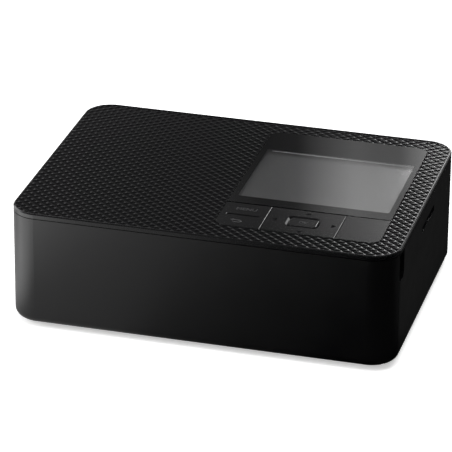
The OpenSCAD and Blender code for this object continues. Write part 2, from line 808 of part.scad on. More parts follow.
module board_parts() {
    z = [board_z + board_t, board_z + board_t + 0.8];
    mid = (board_y[0] + board_y[1]) / 2;
    color([0.08, 0.08, 0.08]) translate([frame_out, 0, 0]) {
        box([7, 21], [board_y[0] + 2, board_y[0] + 16], z);
        for (y = [mid - 7, mid + 9]) box([9, 19], [y, y + 10], z);
        box([4, 7], [board_y[1] - 20, board_y[1] - 4], z);
        for (y = [board_y[1] - 18, board_y[1] - 11]) box([13, 19], [y, y + 4], z);
    }
}

module card_socket() {
    x = [layer_b + 0.5, inner_x - 0.2];
    y = [slot_y - slot_w / 2 - 1, slot_y + slot_w / 2 + 1];
    z = [slot_z - slot_h / 2 - 0.5, board_z];
    color("silver") difference() {
        box(x, y, z);
        box([x[0] + 3, x[1] + 1], [y[0] + 1, y[1] - 1], [slot_z - slot_h / 2, slot_z + slot_h / 2 - 0.3]);
    }
}

module io_board() {
    color([0.05, 0.3, 0.18]) box(io_x, [io_y, io_y + board_t], [floor_top + 3, usb_z + usb_size[1] / 2 + 2]);
}

module dc_jack() {
    y = [io_y + board_t, hd - wall + 0.8];
    color([0.06, 0.06, 0.06]) {
        difference() {
            union() {
                box([jack_x - 5, jack_x + 5], [y[0], hd - wall - fit], [jack_z - 5, jack_z + 5]);
                translate([jack_x, y[1], jack_z]) rotate([90, 0, 0]) cylinder(r = jack_r + 1.3, h = 3);
            }
            translate([jack_x, y[1] + 1, jack_z]) rotate([90, 0, 0])
                cylinder(r = jack_r, h = y[1] - y[0]);
        }
        translate([jack_x, y[1] - 1, jack_z]) rotate([90, 0, 0]) cylinder(r = 0.8, h = y[1] - y[0] - 1);
    }
}

module usb_socket() {
    y = [io_y + board_t, hd - wall + 0.5];
    x = [jack_x - usb_size[0] / 2, jack_x + usb_size[0] / 2];
    z = [usb_z - usb_size[1] / 2, usb_z + usb_size[1] / 2];
    color("silver") {
        difference() {
            box(x, y, z);
            box([x[0] + 1.7, x[1] - 1.7], [y[0] + 1, y[1] + 1], [z[0] + 1.3, z[1] - 1.3]);
        }
        box([jack_x - 2.8, jack_x + 2.8], [y[0] + 0.5, y[1] - 1], [usb_z - 1.6, usb_z + 1.6]);
    }
}

module power_board() {
    color([0.05, 0.3, 0.18])
        box(power_x, power_y, [power_z, power_z + board_t]);
    color([0.12, 0.12, 0.13])
        for (x = [power_x[0] + 3, power_x[1] - 3], y = [power_y[0] + 3, power_y[1] - 3])
            post(x, y, [floor_top, power_z], 2);
}

// Two capacitors and a coil
module power_parts() {
    z = power_z + board_t;
    color([0.1, 0.1, 0.2]) {
        post(power_x[0] + 6, power_y[0] + 6, [z, z + 18], 5);
        post(power_x[0] + 5, power_y[0] + 16.5, [z, z + 14], 4);
        box([power_x[1] - 4.5, power_x[1] - 0.5], [power_y[0] + 12, power_y[1] - 1], [z, z + 8]);
    }
}

// ---------------------------------------------------------------- chassis

module base_plate() {
    color("silver") difference() {
        box([-frame_in, frame_in], frame_y, [floor_top, base_top]);
        box([-roller_half - 1, roller_half + 1], [platen_c[0] - platen_r - 1, platen_c[0] + platen_r + 1],
            [0, base_top + 1]);
    }
}

module frame_holes() {
    for (c = [platen_c, grip_c, pickup_c]) at(c) circle(shaft_r + bush_t);
    at(head_c) circle(head_shaft_r + bush_t);
}

module frame_blank(front_z) {
    difference() {
        union() {
            translate([frame_y[0], floor_top]) square([frame_y[1] - frame_y[0], frame_top - floor_top]);
            at(head_c) circle(head_shaft_r + bush_t + 2.5);
        }
        // Sloping front and rear upper corners
        polygon([[frame_y[0] - 1, front_z], [frame_y[0] + frame_slope, frame_top + 1],
            [frame_y[0] - 1, frame_top + 1]]);
        frame_holes();
    }
}

module left_frame() {
    color("silver") {
        side(-frame_out, -frame_in) difference() {
            frame_blank(floor_top + 30);
            translate([supply_c[0] - tube_r - 0.6, supply_c[1] - tube_r - 0.6])
                square([tube_pitch + 2 * tube_r + 1.2, 2 * tube_r + 1.2]);
        }
        // Stud of the eject lever
        rod([lever_x[0] - 0.5, -frame_out], lever_c, 1.5);
    }
}

module right_frame() {
    color("silver") {
        side(frame_in, frame_out) difference() {
            frame_blank(floor_top + 30);
            for (c = [takeup_c, supply_c]) at(c) circle(shaft_r + bush_t + 2.5);
        }
        box([frame_in, layer_b - 0.5], [frame_y[0] + frame_slope + 1, frame_y[1] - 14],
            [frame_top - frame_t, frame_top]);
        rod([frame_out, plate_x], red_c, 1.5);
    }
}

module top_stay() {
    y = [grip_c[0] + 4, grip_c[0] + 16];
    z = stay_z;
    color("silver") {
        box([-frame_in, frame_in], y, [z, z + frame_t]);
        box([-frame_in, frame_in], [y[0], y[0] + frame_t], [z - 6, z]);
        both_sides() box([frame_in - frame_t, frame_in], y, [z - 4, z]);
    }
}

module gearbox_plate() {
    top = min(floor_top + 38, slot_z - slot_h / 2 - 1.5);
    posts = [[frame_y[0] + 5, base_top + 4], [frame_y[0] + 3, top - 8],
             [grip_c[0] + 20, floor_top + 5], [supply_c[0] + 10.5, top - 4],
             [frame_y[1] - 4, floor_top + 8.6]];
    color("silver") {
        side(plate_x, plate_x + plate_t) difference() {
            polygon([[frame_y[0], floor_top + 1.5], [frame_y[1] - 1.5, floor_top + 1.5],
                [frame_y[1] - 1.5, top], [frame_y[0] + 12, top], [frame_y[0], top - 6]]);
            at(feed_c) circle(4);
            at(ribbon_c) circle(3);
            at(lift_c) circle(3);
            at(takeup_c) circle(2 + run);
            at(supply_c) circle(2 + run);
            at([supply_c[0] - 9, top - 10]) circle(5);
        }
        for (p = posts) rod([frame_out, plate_x], p, 2);
    }
}

module bearing_bushes() {
    color([0.85, 0.83, 0.76])
        for (c = [platen_c, grip_c, pickup_c, head_c]) {
            r = (c == head_c) ? head_shaft_r : shaft_r;
            for (s = [-1, 1]) difference() {
                union() {
                    rod([s * (frame_in + frame_t / 2) - frame_t / 2 - 0.3,
                         s * (frame_in + frame_t / 2) + frame_t / 2 + 0.3], c, r + bush_t);
                    rod([s > 0 ? frame_in - 0.6 : -frame_in, s > 0 ? frame_in : 0.6 - frame_in], c,
                        r + bush_t + 0.9);
                }
                rod([s * frame_in - 5, s * frame_in + 5], c, r + run);
            }
        }
}

module motor(c, r, depth, shaft) {
    difference() {
        union() {
            rod([motor_x, motor_x + depth], c, r);
            rod([motor_x - plate_t, motor_x], c, shaft + 1.4);
            rod([motor_x + depth, motor_x + depth + 1.2], c, shaft + 2);
        }
        rod([motor_x - plate_t - 1, motor_x + depth - 3], c, shaft + run);
    }
}

module feed_motor() {
    color([0.6, 0.6, 0.62]) {
        motor(feed_c, feed_motor_r, feed_motor_l, 1);
        side(motor_x, motor_x + 1) difference() {
            translate([feed_c[0] - 3.5, feed_c[1] - feed_motor_r + 0.5]) square([7, 2 * feed_motor_r - 1]);
            at(feed_c) circle(4);
        }
    }
}

module ribbon_motor() {
    color([0.6, 0.6, 0.62]) motor(ribbon_c, ribbon_motor_r, small_motor_l, 1);
}

module lift_motor() {
    color([0.6, 0.6, 0.62]) motor(lift_c, lift_motor_r, small_motor_l, 1);
}

module pinion(x0, c, turn, depth) {
    gear(x0, c, pinion_teeth, turn);
    rod([x0 + gear_w, motor_x + depth - 3.5], c, 1);
}

// ---------------------------------------------------------------- paper feed

module pinch_bracket() {
    x = roller_half;
    y = [pinch_c[0] - 6.5, min(pinch_c[0] + 6.5, supply_c[0] - nose_r - fit)];
    z = pinch_c[1] + pinch_r + 1.5;
    color("silver") difference() {
        union() {
            box([-frame_in, frame_in], y, [z, z + 1.2]);
            both_sides() {
                box([x - 0.2, x + 1], [pinch_c[0] - 3, min(pinch_c[0] + 3, y[1])], [pinch_c[1] - 2.6, z]);
                box([frame_in - 1.2, frame_in], y, [z, min(z + 7, stay_z - 4 - fit)]);
            }
        }
        rod([-x - 2, x + 2], pinch_c, 1.5 + run);
    }
}

module pinch_roller() {
    color([0.2, 0.2, 0.2]) {
        rod([-roller_half + 0.8, roller_half - 0.8], pinch_c, pinch_r);
        rod([-roller_half - 1.6, roller_half + 1.6], pinch_c, 1.5);
    }
}

module grip_roller() {
    color("silver") {
        rod([-roller_half, roller_half], grip_c, grip_r);
        rod([-frame_out - 0.8, layer_a + gear_w + 0.5], grip_c, shaft_r);
    }
}

module grip_gear() {
    color("white") gear(layer_a, grip_c, grip_teeth, 0, shaft_r);
}

module platen_shaft() {
    color("silver") rod([-frame_out - 0.8, frame_out + 0.8], platen_c, shaft_r);
}

module platen_rubber() {
    color([0.1, 0.1, 0.1]) difference() {
        rod([-roller_half, roller_half], platen_c, platen_r);
        rod([-roller_half - 1, roller_half + 1], platen_c, shaft_r);
    }
}

module reduction_gear() {
    color("white") difference() {
        union() {
            gear(layer_a, red_c, small_teeth, small_turn);
            gear(layer_b, red_c, large_teeth, 0);
            rod([layer_a + gear_w, layer_b], red_c, 3);
        }
        rod([layer_a - 1, layer_b + gear_w + 1], red_c, 1.5 + run);
    }
}

module feed_pinion() {
    color("gold") pinion(layer_b, feed_c, feed_turn, feed_motor_l);
}

module pickup_shaft() {
    color("silver") rod([-frame_out - 0.8, layer_a + gear_w + 0.5], pickup_c, shaft_r);
}

// Two half-moon rollers with their flats down
module pickup_rollers() {
    color([0.12, 0.12, 0.12])
        for (x = [-19, 9]) side(x, x + 10) at(pickup_c) difference() {
            circle(pickup_r);
            translate([-pickup_r, -2 * pickup_r + 0.35 * pickup_r]) square([2 * pickup_r, pickup_r]);
            circle(shaft_r);
        }
}

module pickup_gear() {
    color("white") gear(layer_a, pickup_c, pickup_teeth, pickup_turn, shaft_r);
}

module paper_guide() {
    y = [grip_c[0] + grip_r + 1.5, platen_c[0] - platen_r - 1.5];
    color([0.15, 0.15, 0.16]) {
        box([-guide_x, guide_x], y, [path_z - 1.8, path_z - 0.6]);
        for (x = guide_ribs) box([x, x + 1.2], [y[0] + 2, y[1] - 2], [base_top, path_z - 1.8]);
    }
}

module rear_guide() {
    y = [platen_c[0] + platen_r + 1.5, hd - wall - 3.5];
    color([0.15, 0.15, 0.16]) {
        box([-guide_x, guide_x], y, [path_z - 1.8, path_z - 0.6]);
        for (x = guide_ribs) box([x, x + 1.2], [y[0] + 2, y[1] - 8], [base_top, path_z - 1.8]);
    }
}

// ---------------------------------------------------------------- print head

module thermal_head() {
    color([0.85, 0.85, 0.8]) raised() {
        box([-roller_half, roller_half], head_y, [path_z + 1, sink_z]);
        side(-roller_half, roller_half) intersection() {
            at([platen_c[0], path_z + 1.6]) circle(1.4);
            translate([head_y[0], path_z]) square([head_d, 2]);
        }
    }
}

module head_heatsink() {
    color([0.75, 0.75, 0.77]) raised() {
        box([-roller_half, roller_half], head_y, [sink_z, sink_z + sink_base]);
        for (i = [0:fins - 1]) {
            y = head_y[0] + i * (head_y[1] - head_y[0] - fin_t) / (fins - 1);
            box([-roller_half, roller_half], [y, y + fin_t], [sink_z + sink_base, sink_top]);
        }
    }
}

module head_bracket() {
    x = [frame_in - 3.5, frame_in - 2];
    plate_z = sink_top;
    color("silver") raised() {
        box([-x[1], x[1]], [head_y[0], head_y[1]], [plate_z, plate_z + 1.4]);
        both_sides() side(x[0], x[1]) difference() {
            union() {
                at(head_c) circle(head_shaft_r + 3);
                polygon([
                    [head_y[0], plate_z],
                    [head_y[0], plate_z + 4],
                    [head_c[0] - 2, head_c[1] + 5],
                    [head_c[0] - 3, head_c[1] - 4.5],
                    [head_y[1], plate_z + 2.5],
                    [head_y[1], plate_z]
                ]);
                translate([head_y[0], sink_z + 1]) square([head_d, plate_z - sink_z]);
            }
            at(head_c) circle(head_shaft_r);
        }
    }
}

module head_shaft() {
    color("silver") rod([-frame_out - 0.8, layer_b + gear_w + 0.5], head_c, head_shaft_r);
}

module lift_sector() {
    r = pitch_r(sector_teeth);
    color("white") raised() side(layer_b, layer_b + gear_w) at(head_c) difference() {
        union() {
            intersection() {
                gear_outline(sector_teeth);
                polygon([
                    [0, 0],
                    2 * r * [cos(lift_dir - 8), sin(lift_dir - 8)],
                    2 * r * [cos(lift_dir), sin(lift_dir)],
                    2 * r * [cos(lift_dir + 19), sin(lift_dir + 19)]
                ]);
            }
            circle(head_shaft_r + 2.2);
        }
        circle(head_shaft_r);
    }
}

module lift_pinion() {
    color("gold") pinion(layer_b, lift_c, lift_turn, small_motor_l);
}

// ---------------------------------------------------------------- ribbon drive

module spindle_nose(c) {
    rod([frame_in - 7, frame_in], c, nose_r - 1);
    for (a = [0:60:300]) translate([0, c[0], c[1]]) rotate([a, 0, 0])
        box([frame_in - 7, frame_in - 1.5], [-0.5, 0.5], [nose_r - 1.5, nose_r]);
}

module takeup_spindle() {
    color("white") {
        spindle_nose(takeup_c);
        rod([frame_in, layer_a], takeup_c, shaft_r + bush_t + 2.5 - run);
        gear(layer_a, takeup_c, takeup_teeth, 0);
        rod([layer_a + gear_w, plate_x + plate_t], takeup_c, 2);
    }
}

module ribbon_pinion() {
    color("gold") pinion(layer_a, ribbon_c, ribbon_turn, small_motor_l);
}

module supply_spindle() {
    color("white") {
        spindle_nose(supply_c);
        rod([frame_in, frame_out + 0.5], supply_c, shaft_r + bush_t + 2.5 - run);
        rod([frame_out + 0.5, layer_a + gear_w], supply_c, 7.5);
        rod([layer_a + gear_w, plate_x + plate_t], supply_c, 2);
    }
}

top_cover();
main_case();
bottom_case();
rubber_feet();
case_screws();
port_frame();
front_cover();
hinge_pins();
ink_door();
eject_lever();
display_window();
display_mask();
lcd_module();
lcd_frame();
menu_back_key();
navigation_post();
navigation_plate();
ok_button();
print_key();
key_board();
key_switches();
main_board();
board_parts();
card_socket();
io_board();
dc_jack();
usb_socket();
power_board();
power_parts();
left_frame();
right_frame();
base_plate();
top_stay();
gearbox_plate();
bearing_bushes();
feed_motor();
ribbon_motor();
lift_motor();
pinch_bracket();
paper_guide();
rear_guide();
thermal_head();
head_heatsink();
head_bracket();
head_shaft();
lift_sector();
lift_pinion();
platen_shaft();
platen_rubber();
grip_roller();
grip_gear();
pinch_roller();
reduction_gear();
feed_pinion();
pickup_shaft();
pickup_rollers();
pickup_gear();
takeup_spindle();
ribbon_pinion();
supply_spindle();
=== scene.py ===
"""Compact photo printer, dressed for a product view.

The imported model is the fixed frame. This script gives every solid its finish,
adds the pieces that only the eye needs, and sets the printer in a small studio.
"""

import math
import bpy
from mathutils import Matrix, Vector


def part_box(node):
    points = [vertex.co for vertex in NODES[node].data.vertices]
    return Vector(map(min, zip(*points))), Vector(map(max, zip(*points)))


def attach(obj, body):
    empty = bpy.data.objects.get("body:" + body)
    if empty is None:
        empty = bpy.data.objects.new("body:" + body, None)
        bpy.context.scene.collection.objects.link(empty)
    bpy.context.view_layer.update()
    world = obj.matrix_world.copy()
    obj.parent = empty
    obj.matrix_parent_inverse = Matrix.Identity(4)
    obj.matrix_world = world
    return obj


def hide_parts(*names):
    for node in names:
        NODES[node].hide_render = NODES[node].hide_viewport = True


bl_info = {
    "name": "Compact photo printer",
    "version": (1, 0, 0),
    "blender": (4, 5, 0),
    "location": "View3D > Sidebar > Photo printer",
    "description": "Finishes, trim and studio for the compact photo printer",
    "category": "Object",
}

from collections import namedtuple

import bmesh
import bpy
from mathutils import Matrix, Vector

MM = 0.001
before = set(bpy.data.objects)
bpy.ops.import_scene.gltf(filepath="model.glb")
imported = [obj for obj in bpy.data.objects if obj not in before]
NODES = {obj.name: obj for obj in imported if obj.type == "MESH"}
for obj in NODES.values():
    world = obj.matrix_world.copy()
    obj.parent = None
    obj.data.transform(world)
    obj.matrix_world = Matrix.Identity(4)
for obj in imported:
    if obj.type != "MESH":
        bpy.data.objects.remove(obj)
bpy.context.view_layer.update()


def linear(code):
    """The linear colour of an sRGB hex code."""
    parts = [int(code[i : i + 2], 16) / 255 for i in (1, 3, 5)]
    return tuple(
        p / 12.92 if p <= 0.04045 else ((p + 0.055) / 1.055) ** 2.4 for p in parts
    )


# ---------------------------------------------------------------- settings


def length(name, about, default):
    """A size in millimetres, kept in metres."""
    return bpy.props.FloatProperty(
        name=name, description=about, default=default * MM, unit="LENGTH", precision=5
    )


def angle(name, about, degrees):
    """An angle in degrees, kept in radians."""
    return bpy.props.FloatProperty(
        name=name, description=about, default=math.radians(degrees), subtype="ANGLE"
    )


def colour(name, about, code):
    """A colour from its sRGB hex code, kept linear."""
    return bpy.props.FloatVectorProperty(
        name=name, description=about, default=linear(code), subtype="COLOR", min=0, max=1
    )


class LidSizes(bpy.types.PropertyGroup):
    diamond_w: length("Diamond width", "Lattice pitch of the texture from side to side", 5.218)
    diamond_d: length("Diamond depth", "Lattice pitch of the texture from front to back", 4.241)
    field_h: length("Field depth", "From the floor of the sunk field to the texture's peaks", 0.35)
    base_gap: length("Base gap", "From the floor of the sunk field to the texture's valleys", 0.02)
    skin_t: length("Skin", "Thickness of the texture below its valleys", 0.015)
    peak: bpy.props.FloatProperty(
        name="Flat peak", description="Share of a diamond's width that its flat top takes",
        default=0.25, min=0.05, max=0.5,
    )
    land: length("Rim land", "From the outside of the lid to the sunk field in it", 0.9)
    panel_gap: length("Panel gap", "Gap that the texture leaves around the panel", 0.2)
    corner: length("Corner radius", "Radius of the lid's corners seen from above", 13)
    panel_corner: length("Panel radius", "Radius of the panel's corners seen from above", 5.5)


class PanelSizes(bpy.types.PropertyGroup):
    legend_h: length("Legend height", "Height of the capital letters on the keys", 2.5)
    button_h: length("Button letters", "Height of the letters on the centre button", 2.0)
    ink_t: length("Ink thickness", "Thickness of a printed mark", 0.02)
    arrow: length("Arrow size", "Diameter of the circle round a plain arrow mark", 2.4)
    sign: length("Sign size", "Width that the return sign is drawn from", 4.2)
    edge: length("Key edge", "Radius along the top edges of the keys", 0.2)
    end: length("End length", "Left end of the window, rounded; right end of the last key, sharp", 6)


class DisplaySizes(bpy.types.PropertyGroup):
    side: length("Side margin", "From the display's left and front edges to its film", 3.6)
    right: length("Right margin", "From the film to the display's right edge", 1.6)
    back: length("Rear margin", "From the film to the display's rear edge", 2.6)
    film_t: length("Film thickness", "Thickness of the polarising film", 0.2)
    film_r: length("Film corner", "Radius of the film's corners", 0.3)
    guide_r: length("Guide radius", "Radius of the pale edge of the light guide", 0.22)
    guide_past: length("Guide overhang", "How far the light guide passes the film at each end", 0.1)
    guide_back: length("Guide margin", "From the light guide to the display's rear edge", 1.5)
    guide_up: length("Guide height", "From the display's top to the middle of the light guide", 0.25)


class FinishColours(bpy.types.PropertyGroup):
    body: colour("Case", "Moulded case and lid", "#050506")
    key: colour("Keys", "Keys of the panel and rim of the lid", "#060607")
    legend: colour("Legend", "Printed words and signs", "#2e2e2f")
    mark: colour("Marks", "Dark arrow marks", "#050506")
    window: colour("Window", "Clear window", "#eeeeee")
    mask: colour("Window print", "Print on the back of the window", "#08080a")
    screen: colour("Screen", "Switched-off display", "#1f1f20")
    # the light guide's pale colour is a painted highlight: it draws the bright line along the
    # display's rear edge
    guide: colour("Light guide", "Pale edge of the display's light guide", "#d4d5d6")
    rubber: colour("Rubber", "Feet and rollers", "#141414")
    zinc: colour("Zinc plate", "Frames and brackets", "#a9adb1")
    steel: colour("Steel", "Shafts and pins", "#c4c6c8")
    nickel: colour("Nickel plate", "Cans of the motors", "#b5b2ab")
    board: colour("Board", "Solder mask of the circuit boards", "#1d4a33")
    pads: colour("Pads", "Tinned pads of the circuit boards", "#c9a45c")
    epoxy: colour("Epoxy", "Packages on the circuit boards", "#232427")
    acetal: colour("Acetal", "Gears and bushes", "#dcd8cc")
    styrene: colour("Styrene", "Paper guides and trays", "#2b2c2e")
    brass: colour("Brass", "Pinions", "#c9a25a")
    alumina: colour("Alumina", "Ceramic of the print head", "#b9b3a4")
    aluminium: colour("Aluminium", "Fins of the heat sink", "#c9cbcc")


class StudioSizes(bpy.types.PropertyGroup):
    azimuth: angle("Azimuth", "Camera angle to the right of the front", 15.065)
    elevation: angle("Elevation", "Camera angle above the floor", 25.212)
    roll: angle("Roll", "Camera turn about its own axis", 0.504)
    distance: length("Distance", "Camera to its target", 1515.861)
    target: bpy.props.FloatVectorProperty(
        name="Target", description="Point that the camera looks at",
        default=(-0.006620, 0.006226, 0.028230), subtype="XYZ", unit="LENGTH", precision=5,
    )
    lens: bpy.props.FloatProperty(
        name="Lens", description="Focal length on a 36 mm sensor, in millimetres", default=255.134
    )
    floor_reach: length("Floor reach", "From the middle of the floor to its edges", 3000)
    floor_gap: length("Floor gap", "From the feet down to the floor", 0.2)
    wall_back: length("Wall distance", "From the printer's middle to the wall of light cards", 450)
    wall_w: length("Wall width", "Width of the wall of light cards", 1600)
    wall_h: length("Wall height", "Height of the wall of light cards", 1000)
    floor: colour("Floor", "Pale floor", "#f4f4f4")


# ---------------------------------------------------------------- materials


def add(tree, kind, settings=None, links=None):
    """Adds a node with its settings and its links, and returns it."""
    made = tree.nodes.new(kind)
    for key, value in (settings or {}).items():
        if isinstance(key, int) or key in made.inputs:
            made.inputs[key].default_value = value
        else:
            setattr(made, key, value)
    for key, source in (links or {}).items():
        tree.links.new(source, made.inputs[key])
    return made


def blank(name):
    """A new material of that name with an empty node tree."""
    material = bpy.data.materials.new(name)
    material.use_nodes = True
    material.node_tree.nodes.clear()
    return material, material.node_tree


Skin = namedtuple("Skin", "material tree shader place")

# nearly all of a noise texture's values lie between these two
NOISE_LOW, NOISE_HIGH = 0.3, 0.7


def surface(name, base, more=None):
    """A new material of that name and colour, with its tree, its shader and its object coordinates."""
    material, tree = blank(name)
    shader = add(tree, "ShaderNodeBsdfPrincipled", {"Base Color": (*base, 1), **(more or {})})
    add(tree, "ShaderNodeOutputMaterial", links={"Surface": shader.outputs[0]})
    place = add(tree, "ShaderNodeTexCoord").outputs["Object"]
    return Skin(material, tree, shader, place)


def shade(base, amount):
    """A colour times an amount, at most white."""
    return tuple(min(1, c * amount) for c in base)


def mottle(skin, base, size_mm, amount):
    """Slow variation of a colour, as wide as size_mm."""
    noise = add(
        skin.tree, "ShaderNodeTexNoise", {"Scale": 1 / (size_mm * MM), "Detail": 3.0},
        {"Vector": skin.place},
    )
    ramp = add(skin.tree, "ShaderNodeValToRGB", links={"Fac": noise.outputs["Fac"]})
    dark, pale = ramp.color_ramp.elements
    dark.position, pale.position = NOISE_LOW, NOISE_HIGH
    dark.color = (*shade(base, 1 - amount), 1)
    pale.color = (*shade(base, 1 + amount), 1)
    skin.tree.links.new(ramp.outputs["Color"], skin.shader.inputs["Base Color"])


def uneven_gloss(skin, size_mm, least, most):
    """Roughness from least to most in patches as wide as size_mm."""
    noise = add(
        skin.tree, "ShaderNodeTexNoise", {"Scale": 1 / (size_mm * MM), "Detail": 2.0},
        {"Vector": skin.place},
    )
    span = add(
        skin.tree, "ShaderNodeMapRange",
        {"From Min": NOISE_LOW, "From Max": NOISE_HIGH, "To Min": least, "To Max": most},
        {"Value": noise.outputs["Fac"]},
    )
    skin.tree.links.new(span.outputs["Result"], skin.shader.inputs["Roughness"])


def grain(skin, size_mm, deep_mm, strength=1.0):
    """Fine raised grain: bumps size_mm apart and deep_mm deep."""
    noise = add(
        skin.tree, "ShaderNodeTexNoise", {"Scale": 1 / (size_mm * MM), "Detail": 2.0},
        {"Vector": skin.place},
    )
    bump = add(
        skin.tree, "ShaderNodeBump", {"Strength": strength, "Distance": deep_mm * MM},
        {"Height": noise.outputs["Fac"]},
    )
    skin.tree.links.new(bump.outputs["Normal"], skin.shader.inputs["Normal"])


def drawn_lines(skin, long_mm, apart_mm, detail):
    """Lines along X, long_mm long and apart_mm apart, as rolling and extruding leave them."""
    along, across = 1 / (long_mm * MM), 1 / (apart_mm * MM)
    spread = add(
        skin.tree, "ShaderNodeMapping", {"Scale": (along, across, across)}, {"Vector": skin.place}
    )
    lines = add(
        skin.tree, "ShaderNodeTexNoise", {"Scale": 1.0, "Detail": detail},
        {"Vector": spread.outputs[0]},
    )
    return lines.outputs["Fac"]


def tool_marks(skin, pattern, least, most, deep_mm, strength, spread=(NOISE_LOW, NOISE_HIGH)):
    """Marks of a tool on metal: over its spread, a pattern gives roughness and relief at once."""
    span = add(
        skin.tree, "ShaderNodeMapRange",
        {"From Min": spread[0], "From Max": spread[1], "To Min": least, "To Max": most},
        {"Value": pattern},
    )
    bump = add(
        skin.tree, "ShaderNodeBump", {"Strength": strength, "Distance": deep_mm * MM},
        {"Height": pattern},
    )
    skin.tree.links.new(span.outputs["Result"], skin.shader.inputs["Roughness"])
    skin.tree.links.new(bump.outputs["Normal"], skin.shader.inputs["Normal"])


def satin_abs(colours):
    # ABS from a spark-eroded mould: a soft satin sheen that spreads highlights
    skin = surface("satin_moulded_abs", colours.body, {"IOR": 1.54})
    mottle(skin, colours.body, 22, 0.06)
    uneven_gloss(skin, 9, 0.29, 0.34)
    grain(skin, 0.35, 0.006)
    return skin.material


def knurl_abs(colours):
    # the same ABS where the mould is cut bright: each diamond's sides glint on their own
    skin = surface("diamond_moulded_abs", colours.body, {"IOR": 1.54})
    mottle(skin, colours.body, 14, 0.08)
    uneven_gloss(skin, 5, 0.13, 0.16)
    grain(skin, 0.3, 0.001)
    return skin.material


def key_abs(colours):
    # ABS keys and lid rim from a polished mould: smoother than the case, with a long soft sheen
    skin = surface("satin_key_abs", colours.key, {"IOR": 1.54})
    mottle(skin, colours.key, 12, 0.05)
    uneven_gloss(skin, 9, 0.21, 0.23)
    grain(skin, 0.22, 0.0012)
    return skin.material


def clear_acrylic(colours):
    # cast acrylic window: clear and glossy, with a long clean reflection;
    # lamp light passes straight through to the display, as through a thin plate
    skin = surface("clear_acrylic", colours.window, {"IOR": 1.49, "Transmission Weight": 1.0})
    uneven_gloss(skin, 30, 0.015, 0.03)
    path = add(skin.tree, "ShaderNodeLightPath")
    clear = add(skin.tree, "ShaderNodeBsdfTransparent", {"Color": (0.9, 0.9, 0.9, 1)})
    pane = add(
        skin.tree, "ShaderNodeMixShader",
        links={"Fac": path.outputs["Is Shadow Ray"], 1: skin.shader.outputs[0], 2: clear.outputs[0]},
    )
    out = next(n for n in skin.tree.nodes if n.bl_idname == "ShaderNodeOutputMaterial")
    skin.tree.links.new(pane.outputs[0], out.inputs["Surface"])
    return skin.material


def black_ink(colours):
    # screen print on the back of the window: no air lies between, so the ink, whose IOR is
    # lowered for that, has hardly a shine of its own and shows plain black
    skin = surface("black_screen_print", colours.mask, {"IOR": 1.02})
    uneven_gloss(skin, 3, 0.6, 0.7)
    grain(skin, 0.2, 0.003)
    return skin.material


def legend_ink(colours):
    # pad-printed grey ink: a little lighter than the keys, and matt
    skin = surface("grey_pad_print", colours.legend, {"IOR": 1.5})
    mottle(skin, colours.legend, 1.5, 0.08)
    uneven_gloss(skin, 1, 0.45, 0.6)
    return skin.material


def mark_ink(colours):
    # pad-printed black ink, dry and full of pigment: it shines less than the keys around it
    skin = surface("black_pad_print", colours.mark, {"IOR": 1.15})
    uneven_gloss(skin, 1, 0.7, 0.85)
    return skin.material


def lcd_polariser(colours):
    # anti-glare film over a switched-off display: an even grey haze; the film and the display's
    # layers below it shine together, so the IOR is higher than the film's own
    skin = surface("lcd_polariser_film", colours.screen, {"IOR": 2.1})
    uneven_gloss(skin, 20, 0.35, 0.40)
    # picture cells are about 0.16 mm apart, drawn at 0.5 mm so that they can show
    cells = add(
        skin.tree, "ShaderNodeTexBrick",
        {
            "Scale": 1 / (0.5 * MM), "Color1": (*colours.screen, 1),
            "Color2": (*shade(colours.screen, 0.97), 1), "Mortar": (*shade(colours.screen, 0.9), 1),
            "Mortar Size": 0.04, "Brick Width": 1.0, "Row Height": 1.0, "offset": 0.0,
        },
        {"Vector": skin.place},
    )
    skin.tree.links.new(cells.outputs["Color"], skin.shader.inputs["Base Color"])
    return skin.material


def highlight_painted_guide(colours):
    # white polycarbonate light guide at the back of the display: a thin pale line, its pale colour a
    # painted highlight along the display's rear edge
    skin = surface("white_polycarbonate_painted_highlight", colours.guide, {"IOR": 1.58})
    mottle(skin, colours.guide, 9, 0.12)
    uneven_gloss(skin, 2, 0.35, 0.45)
    return skin.material


def rubber(colours):
    # moulded silicone rubber: matt, slightly dusty black
    skin = surface("moulded_rubber", colours.rubber, {"IOR": 1.45})
    mottle(skin, colours.rubber, 4, 0.15)
    uneven_gloss(skin, 2, 0.72, 0.85)
    grain(skin, 0.3, 0.01)
    return skin.material


def plated_sheet(colours):
    # zinc-plated sheet steel: cool grey with faint rolling lines and spangle
    skin = surface("zinc_plated_steel", colours.zinc, {"Metallic": 1.0})
    mottle(skin, colours.zinc, 5, 0.08)
    tool_marks(skin, drawn_lines(skin, 25, 5 / 7, 3.0), 0.28, 0.42, 0.005, 0.4)
    return skin.material


def turned_steel(colours):
    # ground and turned steel shaft: bright, with fine rings round its axis
    skin = surface("turned_steel", colours.steel, {"Metallic": 1.0})
    rings = add(
        skin.tree, "ShaderNodeTexWave",
        {"bands_direction": "X", "Scale": 1 / (1.2 * MM), "Distortion": 0.6, "Detail": 2.0},
        {"Vector": skin.place},
    )
    tool_marks(skin, rings.outputs["Fac"], 0.16, 0.28, 0.004, 0.5, (0.0, 1.0))
    return skin.material


def motor_can(colours):
    # deep-drawn nickel-plated can: warm bright grey with soft dents
    skin = surface("nickel_plated_can", colours.nickel, {"Metallic": 1.0})
    uneven_gloss(skin, 3, 0.25, 0.38)
    grain(skin, 1.5, 0.01, 0.5)
    return skin.material


